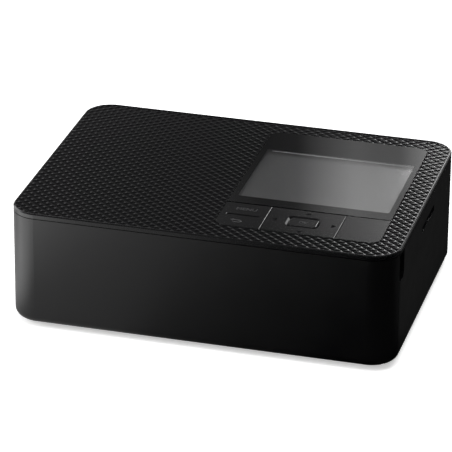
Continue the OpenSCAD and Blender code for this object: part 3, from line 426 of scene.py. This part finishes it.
def solder_mask(colours):
    # glass-epoxy board: green mask over copper tracks, with tinned pads
    skin = surface("glass_epoxy_board", colours.board, {"IOR": 1.55, "Roughness": 0.35})
    tracks = add(
        skin.tree, "ShaderNodeTexBrick",
        {
            "Scale": 1 / (2.4 * MM), "Color1": (*colours.board, 1),
            "Color2": (*shade(colours.board, 0.85), 1), "Mortar": (*shade(colours.board, 1.6), 1),
            "Mortar Size": 0.12, "Brick Width": 2.2, "Row Height": 0.45,
        },
        {"Vector": skin.place},
    )
    pads = add(
        skin.tree, "ShaderNodeTexVoronoi", {"Scale": 1 / (2.54 * MM), "Randomness": 0.7},
        {"Vector": skin.place},
    )
    # round pads: each cell of the pattern is tinned as far as 0.10 to 0.14 of its size
    spot = add(
        skin.tree, "ShaderNodeMapRange",
        {"From Min": 0.10, "From Max": 0.14, "To Min": 1.0, "To Max": 0.0},
        {"Value": pads.outputs["Distance"]},
    ).outputs["Result"]
    tinned = add(
        skin.tree, "ShaderNodeMix", {"data_type": "RGBA", 7: (*colours.pads, 1)},
        {"Factor": spot, 6: tracks.outputs["Color"]},
    )
    skin.tree.links.new(tinned.outputs[2], skin.shader.inputs["Base Color"])
    skin.tree.links.new(spot, skin.shader.inputs["Metallic"])
    raised = add(
        skin.tree, "ShaderNodeBump", {"Strength": 0.6, "Distance": 0.03 * MM},
        {"Height": tracks.outputs["Fac"]},
    )
    skin.tree.links.new(raised.outputs["Normal"], skin.shader.inputs["Normal"])
    return skin.material


def epoxy_part(colours):
    # transfer-moulded epoxy packages: charcoal, dull and slightly speckled
    skin = surface("moulded_epoxy", colours.epoxy, {"IOR": 1.55})
    mottle(skin, colours.epoxy, 0.6, 0.2)
    uneven_gloss(skin, 1, 0.45, 0.6)
    grain(skin, 0.25, 0.006)
    return skin.material


def acetal(colours):
    # moulded acetal gears: milky white and waxy
    skin = surface(
        "natural_acetal", colours.acetal,
        {"IOR": 1.48, "Subsurface Weight": 0.15, "Subsurface Scale": 1 * MM},
    )
    mottle(skin, colours.acetal, 4, 0.03)
    uneven_gloss(skin, 2, 0.32, 0.42)
    grain(skin, 0.5, 0.004)
    return skin.material


def guide_styrene(colours):
    # glass-filled guide rails: dark grey with a dry, faintly fibrous skin
    skin = surface("glass_filled_styrene", colours.styrene, {"IOR": 1.57})
    mottle(skin, colours.styrene, 3, 0.12)
    uneven_gloss(skin, 2, 0.5, 0.62)
    grain(skin, 0.6, 0.01)
    return skin.material


def brass(colours):
    # hobbed brass pinions: yellow metal with bright worn flanks
    skin = surface("hobbed_brass", colours.brass, {"Metallic": 1.0})
    mottle(skin, colours.brass, 1.5, 0.08)
    uneven_gloss(skin, 0.8, 0.18, 0.35)
    return skin.material


def head_glaze(colours):
    # glazed alumina head: off-white ceramic under a glassy skin
    skin = surface("glazed_alumina", colours.alumina, {"IOR": 1.76})
    mottle(skin, colours.alumina, 2.5, 0.08)
    uneven_gloss(skin, 3, 0.1, 0.2)
    return skin.material


def extruded_aluminium(colours):
    # extruded aluminium fins: pale metal with die lines along the length
    skin = surface("extruded_aluminium", colours.aluminium, {"Metallic": 1.0})
    tool_marks(skin, drawn_lines(skin, 50, 0.4, 2.0), 0.22, 0.4, 0.008, 0.5)
    return skin.material


made_finishes = {}


def finish(context, make):
    """The material that a function above makes, made once."""
    if make not in made_finishes:
        made_finishes[make] = make(context.scene.printer_colours)
    return made_finishes[make]


def dress(context, make, *nodes):
    """Gives CAD nodes a finish on their own material slots."""
    for node in nodes:
        for place in NODES[node].material_slots:
            place.material = finish(context, make)


# ---------------------------------------------------------------- mesh helpers


def plain_object(context, name, shape):
    """Turns a bmesh, which is used up, into an object of the scene."""
    mesh = bpy.data.meshes.new(name)
    shape.to_mesh(mesh)
    shape.free()
    made = bpy.data.objects.new(name, mesh)
    context.scene.collection.objects.link(made)
    return made


def new_piece(context, name, shape, make, body):
    """Turns a bmesh into a piece that rides on a body."""
    piece = plain_object(context, name, shape)
    piece.data.materials.append(finish(context, make))
    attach(piece, body)
    return piece


def block(lowest, highest, radius, segments):
    """A box between two corners, its upright edges rounded."""
    shape = bmesh.new()
    bmesh.ops.create_cube(shape, size=1)
    size = Vector(highest) - Vector(lowest)
    bmesh.ops.scale(shape, verts=shape.verts, vec=size)
    bmesh.ops.translate(shape, verts=shape.verts, vec=(Vector(lowest) + Vector(highest)) / 2)
    upright = [e for e in shape.edges if abs((e.verts[0].co - e.verts[1].co).z) > size.z / 2]
    bmesh.ops.bevel(
        shape, geom=upright, offset=radius, offset_type="OFFSET", affect="EDGES",
        segments=segments, profile=0.5, material=-1,
    )
    return shape


def upwards(shape):
    """Turns a flat shape's faces up."""
    for face in shape.faces:
        face.normal_update()
        if face.normal.z < 0:
            face.normal_flip()


def cut(context, body, tool, operation):
    """Cuts body with tool, which is used up, and keeps the result as its mesh."""
    step = body.modifiers.new("cut", "BOOLEAN")
    step.object = tool
    step.operation = operation
    step.solver = "EXACT"
    result = bpy.data.meshes.new_from_object(body.evaluated_get(context.evaluated_depsgraph_get()))
    body.modifiers.clear()
    body.data = result
    bpy.data.objects.remove(tool)


def word(context, text, height):
    """Flat letters of a plain word, height tall, centred on the origin, as a bmesh."""
    curve = bpy.data.curves.new("letters", "FONT")
    curve.body = text
    curve.align_x = "CENTER"
    curve.align_y = "CENTER"
    curve.resolution_u = 4
    letters = bpy.data.objects.new("letters", curve)
    context.scene.collection.objects.link(letters)
    mesh = bpy.data.meshes.new_from_object(letters.evaluated_get(context.evaluated_depsgraph_get()))
    shape = bmesh.new()
    shape.from_mesh(mesh)
    bpy.data.objects.remove(letters)
    bpy.data.meshes.remove(mesh)
    bpy.data.curves.remove(curve)
    xs = [v.co.x for v in shape.verts]
    ys = [v.co.y for v in shape.verts]
    middle = Vector(((min(xs) + max(xs)) / 2, (min(ys) + max(ys)) / 2, 0))
    bmesh.ops.translate(shape, verts=shape.verts, vec=-middle)
    bmesh.ops.scale(shape, verts=shape.verts, vec=Vector((1, 1, 1)) * height / (max(ys) - min(ys)))
    return shape


def print_on(context, name, shape, place, ink, body, turn=0):
    """Prints a flat shape, drawn face up about the origin, at a place on the key of that body."""
    bmesh.ops.rotate(
        shape, verts=shape.verts, cent=(0, 0, 0), matrix=Matrix.Rotation(turn, 3, "Z")
    )
    bmesh.ops.translate(shape, verts=shape.verts, vec=place)
    bmesh.ops.solidify(shape, geom=shape.faces[:], thickness=-context.scene.printer_panel.ink_t)
    bmesh.ops.recalc_face_normals(shape, faces=shape.faces)
    new_piece(context, name, shape, ink, body)


# ---------------------------------------------------------------- pieces


class DressCase(bpy.types.Operator):
    """Finishes of the moulded case, its covers, feet and screws"""

    bl_idname = "printer.dress_case"
    bl_label = "Case finishes"

    def execute(self, context):
        dress(context, satin_abs, "main_case", "bottom_case", "port_frame", "front_cover", "ink_door")
        dress(context, key_abs, "top_cover")
        dress(context, rubber, "rubber_feet")
        dress(context, plated_sheet, "case_screws")
        dress(context, turned_steel, "hinge_pins")
        dress(context, guide_styrene, "eject_lever")
        return {"FINISHED"}


class DressPanel(bpy.types.Operator):
    """Finishes of the window, the display and the keys"""

    bl_idname = "printer.dress_panel"
    bl_label = "Panel finishes"

    def execute(self, context):
        dress(context, clear_acrylic, "display_window")
        dress(context, black_ink, "display_mask")
        dress(context, lcd_polariser, "lcd_module")
        dress(context, guide_styrene, "lcd_frame")
        dress(
            context, key_abs, "menu_back_key", "navigation_post", "navigation_plate", "ok_button",
            "print_key",
        )
        return {"FINISHED"}


class DressMechanism(bpy.types.Operator):
    """Finishes of the boards, frames, motors, rollers and gears"""

    bl_idname = "printer.dress_mechanism"
    bl_label = "Mechanism finishes"

    def execute(self, context):
        dress(context, solder_mask, "key_board", "main_board", "io_board", "power_board")
        dress(context, epoxy_part, "key_switches", "board_parts", "power_parts", "dc_jack")
        dress(
            context, plated_sheet, "card_socket", "usb_socket", "left_frame", "right_frame",
            "base_plate", "top_stay", "gearbox_plate", "pinch_bracket", "head_bracket",
        )
        dress(context, motor_can, "feed_motor", "ribbon_motor", "lift_motor")
        dress(context, turned_steel, "platen_shaft", "grip_roller", "pickup_shaft", "head_shaft")
        dress(
            context, acetal, "bearing_bushes", "lift_sector", "grip_gear", "reduction_gear",
            "pickup_gear", "takeup_spindle", "supply_spindle",
        )
        dress(context, guide_styrene, "paper_guide", "rear_guide")
        dress(context, rubber, "platen_rubber", "pinch_roller", "pickup_rollers")
        dress(context, brass, "lift_pinion", "feed_pinion", "ribbon_pinion")
        dress(context, head_glaze, "thermal_head")
        dress(context, extruded_aluminium, "head_heatsink")
        return {"FINISHED"}


def softened(context, node, body, make, width, up_to=math.inf):
    """A piece that stands for a CAD node, its outer top edges rounded as far as x = up_to."""
    shape = bmesh.new()
    shape.from_mesh(NODES[node].data)
    # flat faces are joined from their triangles first
    bmesh.ops.remove_doubles(shape, verts=shape.verts, dist=0.001 * MM)
    bmesh.ops.dissolve_limit(
        shape, angle_limit=math.radians(0.5), verts=shape.verts, edges=shape.edges,
        use_dissolve_boundaries=False,
    )
    # edges of the top face, between faces that meet at more than 60 degrees
    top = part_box(node)[1].z - 0.01 * MM
    sharp = [
        e for e in shape.edges
        if all(v.co.z > top and v.co.x < up_to for v in e.verts)
        and e.is_manifold and e.calc_face_angle() > math.radians(60)
    ]
    bmesh.ops.bevel(
        shape, geom=sharp, offset=width, offset_type="OFFSET", affect="EDGES", segments=2, profile=0.5,
        material=-1, clamp_overlap=True,
    )
    piece = new_piece(context, node + "_soft", shape, make, body)
    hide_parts(node)


class SoftKeys(bpy.types.Operator):
    """Window and keys with the small rounds that catch the light along their edges"""

    bl_idname = "printer.soft_keys"
    bl_label = "Soft key edges"

    def execute(self, context):
        s = context.scene.printer_panel
        # the window is rounded at its left end alone, and the last key as far as its right end
        left_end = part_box("display_window")[0].x + s.end
        right_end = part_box("print_key")[1].x - s.end
        thin = s.edge / 2
        softened(context, "display_window", "printer", clear_acrylic, thin, left_end)
        softened(context, "menu_back_key", "menu_key", key_abs, s.edge)
        softened(context, "navigation_plate", "nav_plate", key_abs, s.edge)
        softened(context, "ok_button", "ok_key", key_abs, s.edge)
        softened(context, "print_key", "side_key", key_abs, s.edge, right_end)
        return {"FINISHED"}


def panel_box():
    """Lowest and highest corner of the window and the keys together."""
    boxes = [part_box(n) for n in ("display_window", "menu_back_key", "navigation_plate", "print_key")]
    return (
        Vector([min(b[0][i] for b in boxes) for i in range(3)]),
        Vector([max(b[1][i] for b in boxes) for i in range(3)]),
    )


# thickness of the sheet that the texture is cut from, and how far each cutter reaches past it
SHEET_T = 0.4 * MM
CUT_PAST = 1 * MM


def diamond_sheet(s, highest, valley):
    """A closed sheet of raised diamonds that reaches just past the lid, as a bmesh."""
    step_w, step_d = s.diamond_w / 2, s.diamond_d / 2
    cells = 2 * math.ceil((highest.x / step_w + highest.y / step_d) / 2) + 3
    shape = bmesh.new()
    bmesh.ops.create_grid(shape, x_segments=cells, y_segments=cells, size=cells / 2)
    # the square grid, turned and squeezed until each of its cells is a diamond
    lattice = Matrix((
        (step_w, step_w, 0, 0),
        (step_d, -step_d, 0, 0),
        (0, 0, 1, valley),
        (0, 0, 0, 1),
    ))
    bmesh.ops.transform(shape, matrix=lattice, verts=shape.verts)
    bmesh.ops.recalc_face_normals(shape, faces=shape.faces)
    for side in (Vector((1, 0, 0)), Vector((-1, 0, 0)), Vector((0, 1, 0)), Vector((0, -1, 0))):
        edge = side * (highest.x + s.diamond_w if side.x else highest.y + s.diamond_d)
        bmesh.ops.bisect_plane(
            shape, geom=shape.verts[:] + shape.edges[:] + shape.faces[:], plane_co=edge, plane_no=side,
            clear_outer=True,
        )
    shape.normal_update()
    if next(iter(shape.faces)).normal.z < 0:
        bmesh.ops.reverse_faces(shape, faces=shape.faces)
    # four flat sides up to a small flat top
    whole = [f for f in shape.faces if len(f.verts) == 4]
    half_w = step_w * step_d / math.hypot(step_w, step_d)
    bmesh.ops.inset_individual(
        shape, faces=whole, thickness=half_w * (1 - s.peak), depth=highest.z - valley,
        use_even_offset=True,
    )
    # walls and a floor below, which lies deep enough for the skin to be cut from it later
    rim = [e for e in shape.edges if e.is_boundary]
    wall = bmesh.ops.extrude_edge_only(shape, edges=rim)["geom"]
    for v in wall:
        if isinstance(v, bmesh.types.BMVert):
            v.co.z = valley - SHEET_T
    bmesh.ops.contextual_create(shape, geom=[e for e in shape.edges if e.is_boundary])
    bmesh.ops.recalc_face_normals(shape, faces=shape.faces)
    return shape


class LidTexture(bpy.types.Operator):
    """Raised diamonds that cover the lid around the panel"""

    bl_idname = "printer.lid_texture"
    bl_label = "Lid texture"

    def execute(self, context):
        s = context.scene.printer_lid
        lowest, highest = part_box("top_cover")
        valley = highest.z - s.field_h + s.base_gap
        field = plain_object(context, "lid_texture", diamond_sheet(s, highest, valley))
        inset = Vector((s.land, s.land, 0))
        bottom = Vector((lowest.x, lowest.y, valley - s.skin_t))
        top = highest + Vector((0, 0, CUT_PAST))
        outline = block(bottom + inset, top - inset, s.corner - s.land, 12)
        cut(context, field, plain_object(context, "outline", outline), "INTERSECT")
        panel = panel_box()
        grow = Vector((s.panel_gap, s.panel_gap, CUT_PAST))
        hole = block(panel[0] - grow, panel[1] + grow, s.panel_corner + s.panel_gap, 10)
        cut(context, field, plain_object(context, "panel_hole", hole), "DIFFERENCE")
        field.data.materials.clear()
        field.data.materials.append(finish(context, knurl_abs))
        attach(field, "printer")
        return {"FINISHED"}


class DisplayFace(bpy.types.Operator):
    """Film of the display and the pale line of its light guide, a painted highlight, under the window
    """

    bl_idname = "printer.display_face"
    bl_label = "Display face"

    def execute(self, context):
        s = context.scene.printer_display
        lowest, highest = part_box("lcd_module")
        front_left = (lowest.x + s.side, lowest.y + s.side, highest.z)
        rear_right = (highest.x - s.right, highest.y - s.back, highest.z + s.film_t)
        film = block(front_left, rear_right, s.film_r, 3)
        new_piece(context, "display_film", film, lcd_polariser, "printer")
        # the light guide's edge, a thin pale rod behind the picture and a little wider than it, which
        # paints the highlight line along the display's rear edge
        start, end = front_left[0] - s.guide_past, rear_right[0] + s.guide_past
        rod = bmesh.new()
        bmesh.ops.create_cone(
            rod, cap_ends=True, segments=16, radius1=s.guide_r, radius2=s.guide_r, depth=end - start
        )
        bmesh.ops.rotate(
            rod, verts=rod.verts, cent=(0, 0, 0), matrix=Matrix.Rotation(math.pi / 2, 3, "Y")
        )
        middle = ((start + end) / 2, highest.y - s.guide_back, highest.z + s.guide_up)
        bmesh.ops.translate(rod, verts=rod.verts, vec=middle)
        guide = new_piece(context, "display_highlight_rod", rod, highlight_painted_guide, "printer")
        guide.data.shade_smooth()
        return {"FINISHED"}


def return_sign(s):
    """An arrow to the left whose shaft bends back under itself, drawn about the origin."""
    tip, rise, half, bend, tail = (s.sign * share for share in (-0.45, 0.25, 0.09, 0.3, -0.35))
    sign = bmesh.new()
    bmesh.ops.create_circle(sign, cap_ends=True, radius=s.arrow / 2, segments=3)
    bmesh.ops.rotate(
        sign, verts=sign.verts, cent=(0, 0, 0), matrix=Matrix.Rotation(math.pi / 2, 3, "Z")
    )
    bmesh.ops.translate(sign, verts=sign.verts, vec=(tip, rise, 0))
    run = sign.edges.new([sign.verts.new((tip + s.arrow / 4, rise + t, 0)) for t in (-half, half)])
    for far, swing in ((bend, -math.pi), (tail, 0)):
        grown = bmesh.ops.extrude_edge_only(sign, edges=[run])["geom"]
        ends = [v for v in grown if isinstance(v, bmesh.types.BMVert)]
        shift = far - sum(v.co.x for v in ends) / 2
        bmesh.ops.translate(sign, verts=ends, vec=(shift, 0, 0))
        run = next(e for e in grown if isinstance(e, bmesh.types.BMEdge))
        if swing:
            spun = bmesh.ops.spin(
                sign, geom=[run, *ends], cent=(far, 0, 0), axis=(0, 0, 1), dvec=(0, 0, 0),
                angle=swing, steps=10, use_duplicate=False,
            )
            run = next(e for e in spun["geom_last"] if isinstance(e, bmesh.types.BMEdge))
    upwards(sign)
    return sign


class PanelLegends(bpy.types.Operator):
    """Printed words and arrow marks on the keys"""

    bl_idname = "printer.panel_legends"
    bl_label = "Panel legends"

    def execute(self, context):
        s = context.scene.printer_panel
        key, plate, button = (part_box(n) for n in ("menu_back_key", "navigation_plate", "ok_button"))
        centre = (button[0] + button[1]) / 2

        # places from the key's front left corner
        corner = Vector((key[0].x, key[0].y, key[1].z))
        menu_at = corner + Vector((11.0, 18.8, 0)) * MM
        sign_at = corner + Vector((9.3, 5.6, 0)) * MM
        ok_at = Vector((centre.x, centre.y, button[1].z))
        menu, ok = word(context, "MENU", s.legend_h), word(context, "OK", s.button_h)
        print_on(context, "menu_legend", menu, menu_at, legend_ink, "menu_key")
        print_on(context, "ok_legend", ok, ok_at, legend_ink, "ok_key")
        print_on(context, "return_legend", return_sign(s), sign_at, legend_ink, "menu_key")

        # each mark's place from the middle of the centre button, its turn and its stretch
        marks = (
            ("left_mark", (-13.0, -0.4), 90, (1.6, 1.2)),
            ("right_mark", (14.0, -0.5), -90, (1.6, 1.2)),
            ("up_mark", (0.5, 8.9), 0, (1.35, 1.0)),
            ("down_mark", (0.5, -10.2), 180, (1.35, 1.0)),
        )
        for name, (x, y), turn, stretch in marks:
            shape = bmesh.new()
            bmesh.ops.create_circle(shape, cap_ends=True, radius=s.arrow / 2, segments=3)
            bmesh.ops.scale(shape, verts=shape.verts, vec=(*stretch, 1))
            place = (centre.x + x * MM, centre.y + y * MM, plate[1].z)
            print_on(context, name, shape, place, mark_ink, "nav_plate", math.radians(turn))
        return {"FINISHED"}


# ---------------------------------------------------------------- studio

# The lamps light the object but don't show in its shine. What it mirrors is drawn apart, by
# ramps of brightness: each ramp is a row of (place, level) stops, with places in metres on
# the floor and the wall, and as the X part of the direction in the room.

# the floor, bright to the left of the printer and falling off towards its right side
FLOOR_SLOPE = (
    (-0.20, 0.73), (-0.156, 0.76), (-0.14, 0.67), (-0.125, 0.60), (-0.114, 0.45), (-0.10, 0.22),
    (-0.09, 0.19), (-0.08, 0.18), (-0.063, 0.155), (-0.04, 0.12), (-0.025, 0.065), (-0.010, 0.043),
    (0.018, 0.02), (0.045, 0.01), (0.06, 0.0),
)
# the floor from front to back: bright before the front cover, dim beside the case
FLOOR_DEPTH = (
    (-0.10, 1.0), (-0.078, 1.0), (-0.065, 0.85), (-0.05, 0.58), (-0.03, 0.35), (0.03, 0.3),
    (0.10, 0.4), (0.14, 0.8), (0.20, 0.8),
)
# a faint patch on the floor to the right, which the right side mirrors
PATCH_ACROSS = ((0.08, 0.0), (0.10, 0.0085), (0.11, 0.0085))
PATCH_DEPTH = ((-0.05, 0.0), (-0.02, 1.0), (0.02, 1.0))
FLOOR_STRENGTH = 3.3

# the room behind the floor and the wall, with a bright window far to the left
ROOM = (
    (-1.0, 0.05), (-0.94, 0.07), (-0.89, 0.8), (-0.83, 0.8), (-0.76, 0.15), (-0.62, 0.10),
    (-0.35, 0.05), (0.0, 0.02), (0.6, 0.02),
)
ROOM_SPAN = (-1.0, 1.0)
ROOM_STRENGTH = 3.6

# the part of the wall that the levels of its cards span
WALL_ACROSS = (-0.40, 0.40)
WALL_UPWARD = (0.0, 0.80)

# cards on the wall behind the printer: strength, levels from left to right, levels by height
CARDS = (
    # the card that the window, the keys and the flat tops of the diamonds mirror
    (
        14.0,
        (
            (-0.24, 0.060), (-0.16, 0.022), (-0.12, 0.010), (-0.10, 0.007), (-0.08, 0.0095),
            (-0.055, 0.045), (-0.043, 0.060), (-0.03, 0.053), (-0.015, 0.055), (0.004, 0.14),
            (0.03, 0.68), (0.055, 1.0), (0.10, 1.0), (0.145, 0.9), (0.165, 0.5), (0.21, 0.45),
            (0.245, 0.45), (0.28, 0.4), (0.297, 0.12), (0.34, 0.05),
        ),
        (
            (0.19, 0.0), (0.215, 0.7), (0.25, 0.8), (0.29, 1.0), (0.305, 1.0), (0.325, 0.25),
            (0.40, 0.15), (0.45, 0.0),
        ),
    ),
    # a low card that the rear slopes of the diamonds mirror
    (
        1.5,
        (
            (-0.21, 0.05), (-0.13, 0.07), (-0.08, 0.10), (-0.05, 0.17), (-0.01, 0.26), (0.03, 0.36),
            (0.12, 0.3), (0.28, 0.36), (0.297, 0.3), (0.34, 0.2),
        ),
        ((0.06, 0.0), (0.09, 1.0), (0.19, 1.0), (0.22, 0.0)),
    ),
    # a faint glow above them both
    (
        0.07,
        ((-0.40, 1.5), (-0.10, 1.0), (0.30, 0.5)),
        ((0.36, 0.0), (0.40, 1.0), (0.80, 1.0)),
    ),
)

# brightness of the floor's and the room's own light where nothing is mirrored
FILL = 0.45

# name, place, width, height and power of each softbox
LAMPS = (
    ("left_softbox", (-0.75, -0.35, 0.40), 0.7, 0.7, 7.0),
    ("rear_softbox", (0.35, 0.95, 0.75), 0.6, 0.5, 7.0),
    ("top_softbox", (0.0, -0.1, 1.2), 0.9, 0.9, 8.0),
)
LAMP_AIM = Vector((0, 0, 0.03))

# the camera's sensor width in millimetres, and the nearest thing that it shows
SENSOR = 36
NEAREST = 50 * MM


def levels(tree, source, stops, span=None):
    """Brightness along one direction by (place, level) stops, over a span or from first to last."""
    start, end = span or (stops[0][0], stops[-1][0])
    along = add(tree, "ShaderNodeMapRange", {"From Min": start, "From Max": end}, {"Value": source})
    ramp = add(tree, "ShaderNodeValToRGB", links={"Fac": along.outputs["Result"]})
    points = ramp.color_ramp.elements
    while len(points) < len(stops):
        points.new(0.5)
    for point, (place, level) in zip(points, stops):
        point.position = (place - start) / (end - start)
        point.color = (level, level, level, 1)
    return ramp.outputs["Color"]


def shiny(tree, path):
    """1 for light that the object mirrors or lets through, else 0."""
    return add(
        tree, "ShaderNodeMath", {"operation": "MAXIMUM"},
        {0: path.outputs["Is Glossy Ray"], 1: path.outputs["Is Transmission Ray"]},
    ).outputs[0]


def by_ray(tree, plain, mirrored, seen):
    """One shader of three: what lights the object, what shines in it and what the camera sees."""
    path = add(tree, "ShaderNodeLightPath")
    lit = add(tree, "ShaderNodeMixShader", links={"Fac": shiny(tree, path), 1: plain, 2: mirrored})
    return add(
        tree, "ShaderNodeMixShader",
        links={"Fac": path.outputs["Is Camera Ray"], 1: lit.outputs[0], 2: seen},
    ).outputs[0]


def paper_floor(s):
    # matt white paper floor: takes the shadow, and is mirrored paler on the left than on the right
    material, tree = blank("paper_floor")
    place = add(tree, "ShaderNodeTexCoord").outputs["Object"]
    parts = add(tree, "ShaderNodeSeparateXYZ", links={"Vector": place})
    x, y = parts.outputs["X"], parts.outputs["Y"]
    slope = levels(tree, x, FLOOR_SLOPE)
    depth = levels(tree, y, FLOOR_DEPTH)
    across = levels(tree, x, PATCH_ACROSS)
    beside = levels(tree, y, PATCH_DEPTH)
    patch = add(tree, "ShaderNodeMath", {"operation": "MULTIPLY"}, {0: across, 1: beside})
    shine = add(
        tree, "ShaderNodeMath", {"operation": "MULTIPLY_ADD"},
        {0: slope, 1: depth, 2: patch.outputs[0]},
    )
    paper = add(tree, "ShaderNodeBsdfDiffuse", {"Color": (*s.floor, 1)})
    lift = add(tree, "ShaderNodeEmission", {"Color": (1, 1, 1, 1), "Strength": FILL})
    seen = add(tree, "ShaderNodeAddShader", links={0: paper.outputs[0], 1: lift.outputs[0]})
    mirrored = add(
        tree, "ShaderNodeEmission", {"Strength": FLOOR_STRENGTH}, {"Color": shine.outputs[0]}
    )
    whole = by_ray(tree, paper.outputs[0], mirrored.outputs[0], seen.outputs[0])
    add(tree, "ShaderNodeOutputMaterial", links={"Surface": whole})
    return material


def light_wall():
    # lit cards behind the object that only its shine sees: clear to the camera and the lamps
    material, tree = blank("light_wall")
    path = add(tree, "ShaderNodeLightPath")
    place = add(tree, "ShaderNodeTexCoord").outputs["Object"]
    parts = add(tree, "ShaderNodeSeparateXYZ", links={"Vector": place})
    total = None
    for strength, across, upward in CARDS:
        lit = add(
            tree, "ShaderNodeMath", {"operation": "MULTIPLY"},
            {
                0: levels(tree, parts.outputs["X"], across, WALL_ACROSS),
                1: levels(tree, parts.outputs["Z"], upward, WALL_UPWARD),
            },
        )
        sources = {0: lit.outputs[0]}
        if total:
            sources[2] = total
        total = add(
            tree, "ShaderNodeMath", {"operation": "MULTIPLY_ADD", 1: strength, 2: 0.0}, sources
        ).outputs[0]
    glow = add(tree, "ShaderNodeEmission", {"Color": (1, 1, 1, 1)}, {"Strength": total})
    clear = add(tree, "ShaderNodeBsdfTransparent")
    both = add(
        tree, "ShaderNodeMixShader",
        links={"Fac": shiny(tree, path), 1: clear.outputs[0], 2: glow.outputs[0]},
    )
    add(tree, "ShaderNodeOutputMaterial", links={"Surface": both.outputs[0]})
    return material


def lay_floor(context, s):
    """A wide sheet of paper just below the feet."""
    sheet = bmesh.new()
    bmesh.ops.create_grid(sheet, x_segments=1, y_segments=1, size=s.floor_reach)
    bmesh.ops.translate(sheet, verts=sheet.verts, vec=(0, 0, -s.floor_gap))
    floor = plain_object(context, "studio_floor", sheet)
    floor.data.materials.append(paper_floor(s))


def stand_wall(context, s):
    """The wall of light cards, upright on the floor behind the printer."""
    card = bmesh.new()
    bmesh.ops.create_grid(card, x_segments=1, y_segments=1, size=0.5)
    bmesh.ops.scale(card, verts=card.verts, vec=(s.wall_w, s.wall_h, 1))
    bmesh.ops.rotate(
        card, verts=card.verts, cent=(0, 0, 0), matrix=Matrix.Rotation(math.pi / 2, 3, "X")
    )
    bmesh.ops.translate(card, verts=card.verts, vec=(0, s.wall_back, s.wall_h / 2))
    board = plain_object(context, "light_wall", card)
    board.data.materials.append(light_wall())


def open_room(scene):
    """The room around the floor: white to the camera, and paler on its left in the object's shine."""
    world = bpy.data.worlds.new("studio_room")
    scene.world = world
    world.use_nodes = True
    tree = world.node_tree
    tree.nodes.clear()
    way = add(tree, "ShaderNodeTexCoord").outputs["Generated"]
    parts = add(tree, "ShaderNodeSeparateXYZ", links={"Vector": way})
    room = levels(tree, parts.outputs["X"], ROOM, ROOM_SPAN)
    fill = add(tree, "ShaderNodeBackground", {"Color": (1, 1, 1, 1), "Strength": FILL})
    seen = add(tree, "ShaderNodeBackground", {"Color": (1, 1, 1, 1), "Strength": 1.0})
    mirrored = add(tree, "ShaderNodeBackground", {"Strength": ROOM_STRENGTH}, {"Color": room})
    whole = by_ray(tree, fill.outputs[0], mirrored.outputs[0], seen.outputs[0])
    add(tree, "ShaderNodeOutputWorld", links={"Surface": whole})


def hang_lamps(scene):
    """Softboxes aimed at the middle of the printer."""
    for name, place, wide, tall, power in LAMPS:
        lamp = bpy.data.lights.new(name, "AREA")
        lamp.shape = "RECTANGLE"
        lamp.size = wide
        lamp.size_y = tall
        lamp.energy = power
        holder = bpy.data.objects.new(name, lamp)
        holder.visible_glossy = False
        scene.collection.objects.link(holder)
        aim = (LAMP_AIM - Vector(place)).to_track_quat("-Z", "Y")
        holder.matrix_world = Matrix.Translation(place) @ aim.to_matrix().to_4x4()


def place_camera(scene, s):
    """The camera at its angles and distance from the target."""
    back = Vector((
        math.sin(s.azimuth) * math.cos(s.elevation), -math.cos(s.azimuth) * math.cos(s.elevation),
        math.sin(s.elevation),
    ))
    right = Vector((math.cos(s.azimuth), math.sin(s.azimuth), 0))
    side = math.cos(s.roll) * right + math.sin(s.roll) * back.cross(right)
    turn = Matrix((side, back.cross(side), back)).transposed()
    camera = bpy.data.objects.new("camera", bpy.data.cameras.new("camera"))
    camera.data.sensor_width = SENSOR
    camera.data.lens = s.lens
    camera.data.clip_start = NEAREST
    scene.collection.objects.link(camera)
    camera.matrix_world = Matrix.Translation(Vector(s.target) + back * s.distance) @ turn.to_4x4()
    scene.camera = camera


class Studio(bpy.types.Operator):
    """Floor, lights, surroundings and camera"""

    bl_idname = "printer.studio"
    bl_label = "Studio"

    def execute(self, context):
        s = context.scene.printer_studio
        lay_floor(context, s)
        stand_wall(context, s)
        open_room(context.scene)
        hang_lamps(context.scene)
        place_camera(context.scene, s)
        context.scene.view_settings.view_transform = "Standard"
        return {"FINISHED"}


# ---------------------------------------------------------------- add-on


STEPS = (
    DressCase, DressPanel, DressMechanism, SoftKeys, LidTexture, DisplayFace, PanelLegends, Studio,
)
GROUPS = (
    ("printer_lid", LidSizes), ("printer_panel", PanelSizes), ("printer_display", DisplaySizes),
    ("printer_colours", FinishColours), ("printer_studio", StudioSizes),
)


class PrinterPanel(bpy.types.Panel):
    """Lists the printer's settings and the steps that build it"""

    bl_idname = "VIEW3D_PT_photo_printer"
    bl_label = "Photo printer"
    bl_space_type = "VIEW_3D"
    bl_region_type = "UI"
    bl_category = "Photo printer"

    def draw(self, context):
        for group, _ in GROUPS:
            settings = getattr(context.scene, group)
            for key in settings.bl_rna.properties.keys():
                if key not in ("rna_type", "name"):
                    self.layout.prop(settings, key)
        for step in STEPS:
            self.layout.operator(step.bl_idname)


def register():
    for name, group in GROUPS:
        bpy.utils.register_class(group)
        setattr(bpy.types.Scene, name, bpy.props.PointerProperty(type=group))
    for step in STEPS:
        bpy.utils.register_class(step)
    bpy.utils.register_class(PrinterPanel)


def unregister():
    bpy.utils.unregister_class(PrinterPanel)
    for step in reversed(STEPS):
        bpy.utils.unregister_class(step)
    for name, group in reversed(GROUPS):
        delattr(bpy.types.Scene, name)
        bpy.utils.unregister_class(group)


def main():
    register()
    for step in STEPS:
        family, name = step.bl_idname.split(".")
        getattr(getattr(bpy.ops, family), name)()


if __name__ == "__main__":
    main()
